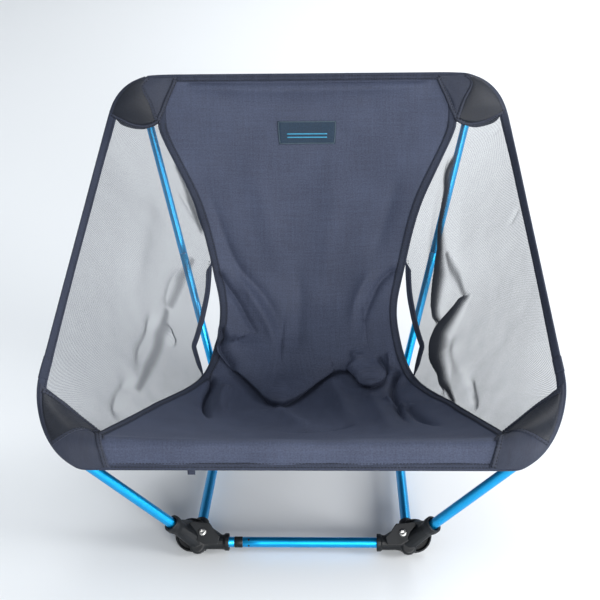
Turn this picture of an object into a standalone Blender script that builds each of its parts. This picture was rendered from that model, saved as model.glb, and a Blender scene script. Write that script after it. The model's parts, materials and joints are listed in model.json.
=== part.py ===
"""Ultralight backpacking chair: a fabric bucket seat slung from four aluminium poles on four plastic hubs.

Metres, +Z up. The sitter faces -Y, +X is to the right of someone looking at the chair's front, and the
origin is on the floor below the middle of the chair. Points of the frame and the fabric are given by
chair(x, y, z), with y measured from the front hubs and z from the height of the base bars' axes.
"""

from math import cos, pi, radians, sin

import bmesh
import bpy
from mathutils import Matrix, Vector

# Driving dimensions, in metres
FRONT_HUBS_Y = -0.1782  # puts the origin midway between the front hem and the back tips
HUB_HEIGHT = 0.016  # of the base bars' axes above the floor
FRONT_HUB = (0.121, 0.0)  # x and y of the right one
REAR_HUB = (0.114, 0.280)
FRONT_TIP = (0.252, -0.047, 0.161)  # ends of the right poles
BACK_TIP = (0.216, 0.417, 0.407)
BAR_RADIUS = 0.0060  # base bars and front poles
BACK_RADIUS = 0.00515
BAR_BORE = 0.0052
BACK_BORE = 0.0043
CORD_RADIUS = 0.00125
GAP = 0.0003  # between pieces that touch on the real chair
TIP_LENGTH = 0.016
TIP_FLANGE = 0.0065
SEGMENTS = 16  # sides of a round piece

# Sockets: how far the mouth is from the hub's centre, the outer radius, and how deep the tube sits in it
POLE_SOCKET = (0.046, 0.0103, 0.029)
SIDE_SOCKET = (0.037, 0.0085, 0.024)
CROSS_SOCKET = (0.036, 0.0085, 0.026)
CROSS_FLANGE = (0.0102, 0.0045)  # radius and length of the lip round the crossbar's mouth
NECK = (0.012, 0.84)  # a socket's outside narrows over this length behind its mouth, to this share of its radius
MOUTH_FLARE = 0.0012
MOUTH_DEPTH = 0.001
MOUTH_TAPER = 0.003

# The hub's core and its webs: how far along each socket a web reaches, and its half thickness there
CORE_RADIUS = 0.0107
UPPER_WEB = {"pole": (0.037, 0.0082), "side": (0.031, 0.0066)}
LOWER_WEB = {"cross": (0.028, 0.0066), "side": (0.030, 0.0060)}
BOSS = ((-0.0005, -0.0050, -0.0060), 0.0090, 0.0150)  # the round boss on the hub's face: foot, radius, length
DISH_RADIUS = 0.0195
DISH_SPOT = (-0.0080, 0.0080, -0.0105)
FOOT = (0.018, 0.014, 0.012)
FOOT_BACK = 0.008  # of the foot's middle from the hub's centre, towards the chair's middle
SCREW_HEAD_RADIUS = 0.0044
SCREW_RADIUS = 0.0015

# Crossbar joint: a stub in the left hub, then a black band, then the long bar
STUB_SHOWS = 0.006
BAND_LENGTH = 0.009
BAND_THICKNESS = 0.0009
FERRULE_LENGTH = 0.056
FERRULE_WALL = 0.0010

# Fabric
PANEL_THICKNESS = 0.0010
MESH_THICKNESS = 0.0008
PATCH_THICKNESS = 0.0016
BINDING_THICKNESS = 0.0024
BINDING_WIDTH = 0.0105
HEM_WIDTH = 0.0095
SEAM_GAP = 0.0010  # from a seam or a fold to the piece on either side of it
VENT_WIDTH = 0.032  # of the three-sided vent beside the waist, at its corner
VENT_CORNER = 0.74  # how far down the vent its corner is
LABEL_SIZE = (0.075, 0.028)

# Guide curves of the right half of the sling, as (station, x, y, z), from the top hem at 0 to the front
# hem at 8: 1 is the lower border of the top patch, 2 and 4 are the ends of the vent, 6 is the border of
# the front patch and 7 is the crease between the front tips.
CENTRE = (
    (0, 0, 0.408, 0.428),
    (1, 0, 0.394, 0.356),
    (2, 0, 0.363, 0.218),
    (3, 0, 0.331, 0.128),
    (4, 0, 0.258, 0.059),
    (5, 0, 0.150, 0.070),
    (6, 0, 0.020, 0.124),
    (7, 0, -0.050, 0.174),
    (8, 0, -0.064, 0.146),
)
SEAM = (
    (0, 0.178, 0.408, 0.428),
    (1, 0.190, 0.387, 0.364),
    (1.5, 0.148, 0.364, 0.268),
    (2, 0.128, 0.346, 0.190),
    (3, 0.117, 0.314, 0.125),
    (4, 0.136, 0.250, 0.075),
    (5, 0.183, 0.120, 0.110),
    (6, 0.222, 0.000, 0.150),
    (7, 0.216, -0.050, 0.174),
    (8, 0.206, -0.064, 0.146),
)
EDGE = (
    (0, 0.205, 0.408, 0.427),
    (0.25, 0.226, 0.405, 0.419),
    (0.5, 0.240, 0.402, 0.408),
    (0.75, 0.250, 0.399, 0.394),
    (1, 0.257, 0.395, 0.376),
    (3.5, 0.272, 0.222, 0.296),
    (5.5, 0.285, 0.055, 0.223),
    (6, 0.288, 0.015, 0.205),
    (6.5, 0.282, -0.018, 0.191),
    (7, 0.270, -0.044, 0.175),
    (7.5, 0.254, -0.058, 0.159),
    (8, 0.234, -0.064, 0.146),
)

# A hub's face carries its cap plate and screw and backs onto the round foot dish. tilt is the angle of the
# face's axis from the vertical; spots on the face are (towards the other hub, up the face).
FRONT_FACE = {
    "tilt": radians(50),
    "screw": (0.0062, 0.0106),
    "cap": (
        (-0.012, 0.010),
        (-0.004, 0.004),
        (0.008, -0.003),
        (0.024, -0.003),
        (0.026, 0.006),
        (0.020, 0.012),
        (0.014, 0.021),
        (-0.008, 0.023),
    ),
}
REAR_FACE = {
    "tilt": radians(78),
    "screw": (0.0120, 0.0092),
    "cap": (
        (-0.004, -0.004),
        (0.008, -0.004),
        (0.024, -0.004),
        (0.026, 0.007),
        (0.019, 0.0155),
        (0.011, 0.021),
        (-0.002, 0.021),
    ),
}
CAP_OUT = 0.0112  # from the hub's centre to the cap plate's back
CAP_THICKNESS = 0.0030

SIDES = (("left", -1), ("right", 1))


def chair(x, y, z):
    return Vector((x, y + FRONT_HUBS_Y, z + HUB_HEIGHT))


def start_scene():
    """Clears the scene and returns the collections of the parts and of the cutters."""
    for old in list(bpy.data.objects):
        bpy.data.objects.remove(old)
    parts = bpy.data.collections.new("backpacking_chair")
    cutters = bpy.data.collections.new("cutters")
    bpy.context.scene.collection.children.link(parts)
    bpy.context.scene.collection.children.link(cutters)
    return parts, cutters


def finish(name, colour, roughness, metallic=0.0):
    material = bpy.data.materials.new(name)
    material.use_nodes = True
    shader = material.node_tree.nodes["Principled BSDF"]
    shader.inputs["Base Color"].default_value = (*colour, 1)
    shader.inputs["Roughness"].default_value = roughness
    shader.inputs["Metallic"].default_value = metallic
    return material


PARTS, CUTTERS = start_scene()
BLUE_ANODISED = finish("blue_anodised_aluminium", (0.01, 0.21, 0.62), 0.28, 0.9)
BARE_METAL = finish("bare_aluminium", (0.62, 0.63, 0.65), 0.35, 1.0)
STEEL = finish("stainless_steel", (0.56, 0.56, 0.55), 0.3, 1.0)
BLACK_PLASTIC = finish("black_plastic", (0.012, 0.013, 0.016), 0.5)
CORD_FABRIC = finish("black_cord", (0.02, 0.02, 0.02), 0.85)
NAVY_FABRIC = finish("navy_fabric", (0.016, 0.018, 0.030), 0.85)
MESH_FABRIC = finish("grey_mesh", (0.20, 0.21, 0.23), 0.9)
BINDING_FABRIC = finish("black_tape", (0.012, 0.012, 0.016), 0.8)
LABEL_FABRIC = finish("label_fabric", (0.03, 0.07, 0.12), 0.7)


def add(name, mesh, material):
    """Puts a mesh in the scene, as a part if it has a material and as a cutter if it has none."""
    obj = bpy.data.objects.new(name, mesh)
    if material is None:
        CUTTERS.objects.link(obj)
        obj.hide_render = True
        obj.display_type = "WIRE"
    else:
        PARTS.objects.link(obj)
        mesh.materials.append(material)
    return obj


def along(obj, start, direction):
    """Stands the object at start, with its own Z along direction."""
    turn = Vector(direction).to_track_quat("Z", "Y").to_matrix().to_4x4()
    obj.matrix_world = Matrix.Translation(start) @ turn
    return obj


def smooth_shaded(obj):
    obj.data.shade_smooth()
    obj.data.set_sharp_from_angle(angle=radians(35))
    return obj


def turned(name, profile, material, ring=False, steps=SEGMENTS):
    """A turned piece. The profile is (radius, height) points down the outer side, closed for a ring."""
    mesh = bpy.data.meshes.new(name)
    edges = [(i, i + 1) for i in range(len(profile) - 1)]
    if ring:
        edges.append((len(profile) - 1, 0))
    mesh.from_pydata([(radius, 0, height) for radius, height in profile], edges, [])
    obj = add(name, mesh, material)
    screw = obj.modifiers.new("turn", "SCREW")
    screw.steps = steps
    screw.render_steps = steps
    screw.use_merge_vertices = True
    screw.merge_threshold = 0.00001
    screw.use_smooth_shade = True
    return obj


def tube(name, start, end, outer, inner, material):
    """An open tube between two points."""
    run = end - start
    profile = ((outer, run.length), (outer, 0), (inner, 0), (inner, run.length))
    return along(turned(name, profile, material, ring=True), start, run)


def cut(obj, other, operation="DIFFERENCE"):
    """Cuts a helper from the object, or joins it. MANIFOLD copes where two sockets' bores nearly meet."""
    boolean = obj.modifiers.new(operation.lower(), "BOOLEAN")
    boolean.object = other
    boolean.operation = operation
    boolean.solver = "MANIFOLD"


def hull_of_balls(name, balls, material=None):
    """The convex hull of balls given as (centre, radius)."""
    bm = bmesh.new()
    for centre, radius in balls:
        place = Matrix.Translation(centre)
        bmesh.ops.create_icosphere(bm, subdivisions=2, radius=radius, matrix=place)
    bmesh.ops.delete(bm, geom=bm.edges[:] + bm.faces[:], context="EDGES_FACES")
    hull = bmesh.ops.convex_hull(bm, input=bm.verts[:])
    unused = {v for v in hull["geom_interior"] + hull["geom_unused"] if isinstance(v, bmesh.types.BMVert)}
    bmesh.ops.delete(bm, geom=list(unused), context="VERTS")
    bmesh.ops.recalc_face_normals(bm, faces=bm.faces[:])
    mesh = bpy.data.meshes.new(name)
    bm.to_mesh(mesh)
    bm.free()
    return add(name, mesh, material)


def rounded_box(name, size, radius, material=None):
    bm = bmesh.new()
    bmesh.ops.create_cube(bm, size=1)
    bmesh.ops.scale(bm, vec=size, verts=bm.verts[:])
    mesh = bpy.data.meshes.new(name)
    bm.to_mesh(mesh)
    bm.free()
    box = add(name, mesh, material)
    bevel = box.modifiers.new("round", "BEVEL")
    bevel.width = radius
    bevel.segments = 2
    return box


# Hubs


def socket_outside(name, reach, radius, grow, flange=None):
    """The outer shape of one socket, from the hub's centre to its mouth, grown by grow."""
    if flange:
        lip, length = flange
        neck, behind = radius, length + 0.002
    else:
        lip, length = radius, NECK[0] / 2
        neck, behind = radius * NECK[1], NECK[0]
    back = -radius * 0.3  # a little past the hub's centre
    profile = (
        (0, reach + grow),
        (lip + grow, reach + grow),
        (lip + grow, reach - length),
        (neck + grow, reach - behind),
        (neck + grow, back),
        (0, back),
    )
    return turned(name, profile, None)


def web(name, centre, sockets, ends, grow):
    """A flat web from the hub's core out along two of its sockets."""
    balls = [(centre, CORE_RADIUS - GAP + grow)]
    for label, (reach, radius) in ends.items():
        balls.append((centre + sockets[label][0] * reach, radius + grow))
    return hull_of_balls(name, balls)


def hub_outside(prefix, centre, sockets, grow):
    """The hub's sockets and the webs between them, grown by grow, as helpers."""
    shapes = []
    for label, (direction, (reach, radius, _), _) in sockets.items():
        flange = CROSS_FLANGE if label == "cross" else None
        shape = socket_outside(f"{prefix}_{label}_socket", reach, radius, grow, flange)
        shapes.append(along(shape, centre, direction))
    shapes.append(web(f"{prefix}_upper_web", centre, sockets, UPPER_WEB, grow))
    shapes.append(web(f"{prefix}_lower_web", centre, sockets, LOWER_WEB, grow))
    return shapes


def bore(name, reach, depth, radius):
    """The hole of one socket, with its flared mouth."""
    bottom = reach - depth - GAP
    clear = radius + GAP
    past = reach + MOUTH_DEPTH
    profile = (
        (0, past),
        (clear + MOUTH_FLARE, past),
        (clear + MOUTH_FLARE, reach - MOUTH_DEPTH),
        (clear, reach - MOUTH_DEPTH - MOUTH_TAPER),
        (clear, bottom),
        (0, bottom),
    )
    return turned(name, profile, None)


def dish(name):
    """The round foot dish, its axis on Z and its floor on the XY plane."""
    rim, floor, height = 0.0022, 0.0028, 0.0075
    profile = (
        (0, floor),
        (DISH_RADIUS - rim, floor),
        (DISH_RADIUS - rim, height),
        (DISH_RADIUS, height),
        (DISH_RADIUS, 0.001),
        (DISH_RADIUS - 0.0015, 0),
        (0, 0),
    )
    return turned(name, profile, None, steps=24)


def knob(name, radius, length):
    """A short round post with a rounded end, standing on Z from the origin."""
    steps = [radians(angle) for angle in (0, 25, 50, 75)]
    rounding = radius * 0.35
    dome = [(radius - rounding * (1 - cos(a)), length - rounding * (1 - sin(a))) for a in steps]
    return turned(name, ((0, length), *reversed(dome), (radius, 0), (0, 0)), None)


def cap_outline(name, points, inward):
    """The cap plate's flat outline, drawn across the screw. inward is the sign of the crossbar's side."""
    curve = bpy.data.curves.new(name, "CURVE")
    curve.dimensions = "2D"
    curve.fill_mode = "BOTH"
    curve.extrude = CAP_THICKNESS / 2
    line = curve.splines.new("POLY")
    line.points.add(len(points) - 1)
    for spot, (x, y) in zip(line.points, points, strict=True):
        spot.co = (x * inward, y, 0, 1)
    line.use_cyclic_u = True
    return curve


def mesh_of_curve(name, curve, material):
    """Turns a curve into a mesh object whose caps are welded to its sides."""
    carrier = bpy.data.objects.new(name + "_curve", curve)
    PARTS.objects.link(carrier)
    bpy.context.view_layer.update()
    evaluated = carrier.evaluated_get(bpy.context.evaluated_depsgraph_get())
    mesh = bpy.data.meshes.new_from_object(evaluated)
    bpy.data.objects.remove(carrier)
    bm = bmesh.new()
    bm.from_mesh(mesh)
    bmesh.ops.remove_doubles(bm, verts=bm.verts[:], dist=0.000001)
    bmesh.ops.recalc_face_normals(bm, faces=bm.faces[:])
    bm.to_mesh(mesh)
    bm.free()
    mesh.materials.clear()
    return add(name, mesh, material)


def make_hub(place, centre, sockets, face, outward, facing):
    """A hub's body, cap and screw. outward is +1 on the right; facing is -1 at the front, where the screw
    faces forward and up, and +1 at the back."""
    name = f"hub_{place}"
    tilt = face["tilt"]
    axis = Vector((0, facing * sin(tilt), cos(tilt)))
    in_plane = Vector((0, -facing * cos(tilt), sin(tilt)))
    inward = Vector((-outward, 0, 0))
    across, up = face["screw"]

    def spot(across, up, out):
        return centre + inward * across + in_plane * up + axis * out

    screw_pad = (spot(across, up, 0.006), 0.005)
    body = hull_of_balls(f"{name}_body", ((centre, CORE_RADIUS), screw_pad), BLACK_PLASTIC)
    for shape in hub_outside(name, centre, sockets, 0):
        cut(body, shape, "UNION")
    boss_foot, boss_radius, boss_length = BOSS
    cut(body, along(knob(f"{name}_boss", boss_radius, boss_length), spot(*boss_foot), axis), "UNION")
    cut(body, along(dish(f"{name}_dish"), spot(*DISH_SPOT), axis), "UNION")
    foot = rounded_box(f"{name}_foot", FOOT, 0.003)
    foot.location = (centre.x, centre.y - facing * FOOT_BACK, FOOT[2] / 2)
    cut(body, foot, "UNION")
    for label, (direction, (reach, _, depth), radius) in sockets.items():
        cut(body, along(bore(f"{name}_{label}_bore", reach, depth, radius), centre, direction))

    sideways = in_plane.cross(axis)
    outline = cap_outline(f"{name}_cap", face["cap"], round(sideways.dot(inward)))
    cap = mesh_of_curve(f"{name}_cap", outline, BLACK_PLASTIC)
    frame = Matrix((sideways, in_plane, axis)).transposed().to_4x4()
    cap.matrix_world = Matrix.Translation(spot(0, 0, CAP_OUT + CAP_THICKNESS / 2)) @ frame
    for shape in hub_outside(f"{name}_clear", centre, sockets, GAP):
        cut(cap, shape)

    screw_spot = spot(across, up, CAP_OUT + CAP_THICKNESS + GAP)
    hole = turned(f"{name}_screw_hole", screw_profile(GAP, 0), None)
    along(hole, screw_spot, axis)
    cut(body, hole)
    cut(cap, hole)
    screw = turned(f"{name}_screw", screw_profile(0, 0.0022), STEEL)
    along(screw, screw_spot, axis)
    smooth_shaded(screw)


def screw_profile(grow, head):
    """The screw, its head's underside at height 0. Without a head it is the screw's hole."""
    end = (0, -0.0125 - grow)
    shank = ((SCREW_RADIUS + grow, 0), (SCREW_RADIUS + grow, -0.0115 - grow), end)
    if not head:
        top = 0.003
        return ((0, top), (SCREW_RADIUS + grow, top), *shank[1:])
    recess = 0.0016
    return (
        (0, head - 0.0012),
        (recess, head - 0.0010),
        (recess, head),
        (SCREW_HEAD_RADIUS * 0.7, head),
        (SCREW_HEAD_RADIUS, head * 0.45),
        (SCREW_HEAD_RADIUS, 0),
        *shank,
    )


# Poles and bars


def pole_tip(name, end, direction, bore_radius, outer):
    """A plastic end plug: a flanged rounded cap on a stem inside the pole."""
    stem = bore_radius - GAP
    cap = TIP_FLANGE
    profile = (
        (0, 0),
        (cap * 0.55, -0.0008),
        (cap * 0.87, -0.0028),
        (cap, -0.0055),
        (cap, -TIP_LENGTH + 0.006),
        (outer, -TIP_LENGTH + 0.004),
        (stem, -TIP_LENGTH + 0.004),
        (stem, -TIP_LENGTH - 0.008),
        (0, -TIP_LENGTH - 0.008),
    )
    return along(turned(name, profile, BLACK_PLASTIC), end, direction)


def shock_cord(name, start, end):
    """An elastic cord with a knot at its start, held in the hub."""
    run = end - start
    knot = 0.0028
    profile = (
        (0, run.length),
        (CORD_RADIUS, run.length),
        (CORD_RADIUS, knot * 1.8),
        (knot, knot * 1.2),
        (knot, knot * 0.5),
        (CORD_RADIUS, 0),
        (0, 0),
    )
    return along(turned(name, profile, CORD_FABRIC, steps=8), start, run)


def make_straight_pole(name, hub, tip, socket, outer, inner):
    """A one-piece pole with its tip plug and its cord, from the bottom of its socket."""
    direction = (tip - hub).normalized()
    foot = hub + direction * (socket[0] - socket[2])
    top = tip - direction * (TIP_LENGTH - 0.004 + GAP)
    tube(name, foot, top, outer, inner, BLUE_ANODISED)
    pole_tip(f"{name}_tip", tip, direction, inner, outer)
    shock_cord(f"{name}_cord", foot + direction * 0.001, top - direction * 0.025)


def make_back_pole(side, hub, tip):
    """The back pole: two tubes joined by a ferrule that is fixed in the lower one."""
    direction = (tip - hub).normalized()
    length = (tip - hub).length
    foot = hub + direction * (POLE_SOCKET[0] - POLE_SOCKET[2])
    top = tip - direction * (TIP_LENGTH - 0.004 + GAP)
    joint = hub + direction * length * 0.5
    apart = direction * GAP / 2
    tube(f"back_pole_{side}_lower", foot, joint - apart, BACK_RADIUS, BACK_BORE, BLUE_ANODISED)
    tube(f"back_pole_{side}_upper", joint + apart, top, BACK_RADIUS, BACK_BORE, BLUE_ANODISED)
    half = direction * FERRULE_LENGTH / 2
    ferrule = (BACK_BORE - GAP, BACK_BORE - GAP - FERRULE_WALL)
    tube(f"back_pole_{side}_ferrule", joint - half, joint + half, *ferrule, BARE_METAL)
    pole_tip(f"back_pole_{side}_tip", tip, direction, BACK_BORE, BACK_RADIUS)
    shock_cord(f"back_pole_{side}_cord", foot + direction * 0.001, top - direction * 0.025)


def make_crossbar(place, left_hub, right_hub):
    """A crossbar: the long tube from the right hub, its ferrule and band, and the stub in the left hub."""
    reach, _, depth = CROSS_SOCKET
    inward = (right_hub - left_hub).normalized()
    stub_end = left_hub + inward * (reach + STUB_SHOWS)
    bar_start = stub_end + inward * (BAND_LENGTH + 2 * GAP)
    bar_end = right_hub - inward * (reach - depth)
    stub_start = left_hub + inward * (reach - depth)
    tube(f"{place}_crossbar_stub", stub_start, stub_end, BAR_RADIUS, BAR_BORE, BLUE_ANODISED)
    tube(f"{place}_crossbar", bar_start, bar_end, BAR_RADIUS, BAR_BORE, BLUE_ANODISED)
    ferrule = BAR_BORE - GAP
    band = (BAR_RADIUS + BAND_THICKNESS, ferrule + GAP)
    band_start = stub_end + inward * GAP
    tube(f"{place}_crossbar_band", band_start, band_start + inward * BAND_LENGTH, *band, BLACK_PLASTIC)
    reach_in = inward * (FERRULE_LENGTH / 2)
    walls = (ferrule, ferrule - FERRULE_WALL)
    tube(f"{place}_crossbar_ferrule", stub_end - reach_in, stub_end + reach_in, *walls, BARE_METAL)
    shock_cord(f"{place}_crossbar_cord", bar_end - inward * 0.001, stub_end - reach_in)


# Fabric


def guide(knots, station):
    """A smooth curve through the knots: a cubic between each two, with the slope of its neighbours."""
    last = len(knots) - 1
    i = max(k for k in range(last) if knots[k][0] <= max(station, knots[0][0]))
    points = [Vector(knot[1:]) for knot in knots]
    places = [knot[0] for knot in knots]

    def slope(k):
        low, high = max(k - 1, 0), min(k + 1, last)
        return (points[high] - points[low]) / (places[high] - places[low])

    width = places[i + 1] - places[i]
    t = (station - places[i]) / width
    start, end = points[i], points[i + 1]
    blend = t * t * (3 - 2 * t)
    bend = slope(i) * (t * (1 - t) ** 2) - slope(i + 1) * (t * t * (1 - t))
    return start.lerp(end, blend) + bend * width


def sling(station, across):
    """A point of the sling. across is 0 at the middle, 1 at the right seam and 2 at the right edge."""
    side = -1 if across < 0 else 1
    across = abs(across)
    seam = guide(SEAM, station)
    if across <= 1:
        middle = guide(CENTRE, station)
        point = middle.lerp(seam, across**2)
        point.x = seam.x * across
    else:
        point = seam.lerp(guide(EDGE, station), across - 1)
    return chair(side * point.x, point.y, point.z)


def outer_share(station, distance):
    """How far across a point this far inside the edge is, along its row of the mesh."""
    row = (guide(EDGE, station) - guide(SEAM, station)).length
    return 2 - min(distance / row, 0.95)


def inner_share(station, distance):
    row = (guide(EDGE, station) - guide(SEAM, station)).length
    return 1 + distance / row


def steps_between(low, high, count):
    return [low + (high - low) * i / count for i in range(count + 1)]


def fabric(name, stations, row, thickness, material):
    """A piece of the sling: row(station) gives its points from side to side, and Solidify its thickness."""
    rows = [row(station) for station in stations]
    wide = len(rows[0])
    faces = []
    for i in range(len(rows) - 1):
        for j in range(wide - 1):
            a = i * wide + j
            faces.append((a, a + wide, a + wide + 1, a + 1))
    mesh = bpy.data.meshes.new(name)
    mesh.from_pydata([point for line in rows for point in line], [], faces)
    obj = add(name, mesh, material)
    solidify = obj.modifiers.new("thickness", "SOLIDIFY")
    solidify.thickness = thickness
    solidify.offset = 0
    solidify.use_even_offset = True
    smooth_shaded(obj)
    return obj


def hem_share(low):
    """How many stations a hem takes up, at the top hem or at the front one."""
    first, second = (0, 0.25) if low else (8, 7.75)
    span = (guide(CENTRE, first) - guide(CENTRE, second)).length
    return 0.25 * HEM_WIDTH / span


def vent(station):
    """The vent's width: two straight sides from stations 2 and 4 that meet at its corner."""
    t = (station - 2) / 2
    if t <= 0 or t >= 1:
        return 0
    return VENT_WIDTH * min(t / VENT_CORNER, (1 - t) / (1 - VENT_CORNER))


def make_seat():
    top, front = hem_share(True), 8 - hem_share(False)

    def panel_row(station):
        outer = 1 - SEAM_GAP / guide(SEAM, station).x
        return [sling(station, across) for across in steps_between(-outer, outer, 12)]

    stations = steps_between(top + 0.01, front - 0.02, 30)
    fabric("seat_centre_panel", stations, panel_row, PANEL_THICKNESS, NAVY_FABRIC)

    def hem_row(station):
        outer = outer_share(station, 0.0)
        return [sling(station, across) for across in steps_between(-outer, outer, 16)]

    fabric("seat_top_hem", (0, top / 2, top), hem_row, BINDING_THICKNESS, BINDING_FABRIC)
    fabric("seat_front_hem", (front, (front + 8) / 2, 8), hem_row, BINDING_THICKNESS, BINDING_FABRIC)

    for side, sign in SIDES:

        def mesh_row(station, sign=sign):
            low = inner_share(station, SEAM_GAP + vent(station))
            high = outer_share(station, BINDING_WIDTH + SEAM_GAP)
            return [sling(station, sign * across) for across in steps_between(low, high, 5)]

        def patch_row(station, sign=sign):
            low = inner_share(station, SEAM_GAP)
            high = outer_share(station, BINDING_WIDTH + SEAM_GAP)
            return [sling(station, sign * across) for across in steps_between(low, high, 4)]

        def binding_row(station, sign=sign):
            low = outer_share(station, BINDING_WIDTH)
            return [sling(station, sign * across) for across in (low, (low + 2) / 2, 2)]

        fabric(f"seat_mesh_{side}", steps_between(1.01, 5.99, 20), mesh_row, MESH_THICKNESS, MESH_FABRIC)
        patches = {
            f"seat_patch_top_{side}": steps_between(top + 0.01, 0.99, 5),
            f"seat_patch_front_{side}": steps_between(6.01, front - 0.02, 8),
        }
        for name, rows in patches.items():
            fabric(name, rows, patch_row, PATCH_THICKNESS, NAVY_FABRIC)
        stations = steps_between(top + 0.01, 1, 4) + steps_between(1.4, 5.8, 11)
        stations += steps_between(6, front - 0.02, 8)
        fabric(f"seat_edge_{side}", stations, binding_row, BINDING_THICKNESS, BINDING_FABRIC)

    make_label()


def make_label():
    """The woven label on the front of the back, clear of the panel by the gap."""
    width, height = LABEL_SIZE
    thickness = 0.0008
    station = 1.0
    middle = sling(station, 0)
    down = (sling(station + 0.1, 0) - sling(station - 0.1, 0)).normalized()
    across = Vector((1, 0, 0))
    out = down.cross(across).normalized()
    label = rounded_box("seat_label", (width, height, thickness), 0.0002, LABEL_FABRIC)
    place = middle + out * (PANEL_THICKNESS / 2 + GAP + thickness / 2 + 0.0006)
    label.matrix_world = Matrix.Translation(place) @ Matrix((across, -down, out)).transposed().to_4x4()


def main():
    hubs = {}
    for side, sign in SIDES:
        front = chair(sign * FRONT_HUB[0], FRONT_HUB[1], 0)
        rear = chair(sign * REAR_HUB[0], REAR_HUB[1], 0)
        front_tip = chair(sign * FRONT_TIP[0], *FRONT_TIP[1:])
        back_tip = chair(sign * BACK_TIP[0], *BACK_TIP[1:])
        inward = Vector((-sign, 0, 0))
        back = (rear - front).normalized()
        hubs[side] = (front, rear)
        sockets = {
            "pole": ((front_tip - front).normalized(), POLE_SOCKET, BAR_RADIUS),
            "side": (back, SIDE_SOCKET, BAR_RADIUS),
            "cross": (inward, CROSS_SOCKET, BAR_RADIUS),
        }
        make_hub(f"front_{side}", front, sockets, FRONT_FACE, sign, -1)
        sockets = {
            "pole": ((back_tip - rear).normalized(), POLE_SOCKET, BACK_RADIUS),
            "side": (-back, SIDE_SOCKET, BAR_RADIUS),
            "cross": (inward, CROSS_SOCKET, BAR_RADIUS),
        }
        make_hub(f"rear_{side}", rear, sockets, REAR_FACE, sign, 1)
        into = back * (SIDE_SOCKET[0] - SIDE_SOCKET[2])
        tube(f"side_bar_{side}", front + into, rear - into, BAR_RADIUS, BAR_BORE, BLUE_ANODISED)
        make_straight_pole(f"front_pole_{side}", front, front_tip, POLE_SOCKET, BAR_RADIUS, BAR_BORE)
        make_back_pole(side, rear, back_tip)
    for index, place in enumerate(("front", "rear")):
        make_crossbar(place, hubs["left"][index], hubs["right"][index])
    make_seat()


main()
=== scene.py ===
"""Looks of the ultralight backpacking chair: its fabric seat, tubes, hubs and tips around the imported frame.

Metres, +Z up, in the frame's own coordinates. The seat is one surface in two numbers: station runs from
the top hem (0) down the back and along the seat to the front hem (8), and across runs from the left edge
(-2) by the left seam (-1), the middle (0) and the right seam (1) to the right edge (2). Every fabric piece
is laid on that surface.
"""

import json
from math import cos, pi, radians, sin

import bpy
import numpy as np
from mathutils import Matrix, Vector, noise

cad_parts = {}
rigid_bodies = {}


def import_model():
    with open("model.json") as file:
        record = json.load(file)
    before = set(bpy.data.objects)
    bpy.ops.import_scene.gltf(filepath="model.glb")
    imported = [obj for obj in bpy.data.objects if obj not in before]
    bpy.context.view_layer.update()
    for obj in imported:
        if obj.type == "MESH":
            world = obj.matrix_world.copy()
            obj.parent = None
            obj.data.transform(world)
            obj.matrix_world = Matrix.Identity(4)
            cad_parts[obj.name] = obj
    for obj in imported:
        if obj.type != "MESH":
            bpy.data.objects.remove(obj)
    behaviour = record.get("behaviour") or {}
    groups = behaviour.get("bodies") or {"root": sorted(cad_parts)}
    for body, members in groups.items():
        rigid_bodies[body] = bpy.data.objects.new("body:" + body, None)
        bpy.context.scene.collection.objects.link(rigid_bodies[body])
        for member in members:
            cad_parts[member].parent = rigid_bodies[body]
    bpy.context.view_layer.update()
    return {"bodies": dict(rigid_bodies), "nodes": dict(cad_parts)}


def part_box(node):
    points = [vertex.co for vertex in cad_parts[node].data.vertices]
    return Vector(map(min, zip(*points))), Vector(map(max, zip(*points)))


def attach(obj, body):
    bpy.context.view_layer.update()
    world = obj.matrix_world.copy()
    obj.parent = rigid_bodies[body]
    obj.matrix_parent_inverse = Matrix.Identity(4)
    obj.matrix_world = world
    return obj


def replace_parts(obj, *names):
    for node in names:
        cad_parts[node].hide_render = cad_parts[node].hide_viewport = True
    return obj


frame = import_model()

# Guide curves of the seat's right half, as (station, x, y, z), the same as the CAD's. y is measured from
# the front hubs and z from the height of the base bars' axes.
FRONT_HUBS_Y = -0.1782
HUB_HEIGHT = 0.016
CENTRE = (
    (0, 0, 0.408, 0.428),
    (1, 0, 0.394, 0.356),
    (2, 0, 0.363, 0.218),
    (3, 0, 0.331, 0.128),
    (4, 0, 0.258, 0.059),
    (5, 0, 0.150, 0.070),
    (6, 0, 0.020, 0.124),
    (7, 0, -0.050, 0.174),
    (8, 0, -0.064, 0.146),
)
SEAM = (
    (0, 0.178, 0.408, 0.428),
    (1, 0.190, 0.387, 0.364),
    (1.5, 0.148, 0.364, 0.268),
    (2, 0.128, 0.346, 0.190),
    (3, 0.117, 0.314, 0.125),
    (4, 0.136, 0.250, 0.075),
    (5, 0.183, 0.120, 0.110),
    (6, 0.222, 0.000, 0.150),
    (7, 0.216, -0.050, 0.174),
    (8, 0.206, -0.064, 0.146),
)
EDGE = (
    (0, 0.205, 0.408, 0.427),
    (0.25, 0.226, 0.405, 0.419),
    (0.5, 0.240, 0.402, 0.408),
    (0.75, 0.250, 0.399, 0.394),
    (1, 0.257, 0.395, 0.376),
    (3.5, 0.272, 0.222, 0.296),
    (5.5, 0.285, 0.055, 0.223),
    (6, 0.288, 0.015, 0.205),
    (6.5, 0.282, -0.018, 0.191),
    (7, 0.270, -0.044, 0.175),
    (7.5, 0.254, -0.058, 0.159),
    (8, 0.234, -0.064, 0.146),
)
SIDES = (("left", -1), ("right", 1))

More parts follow.
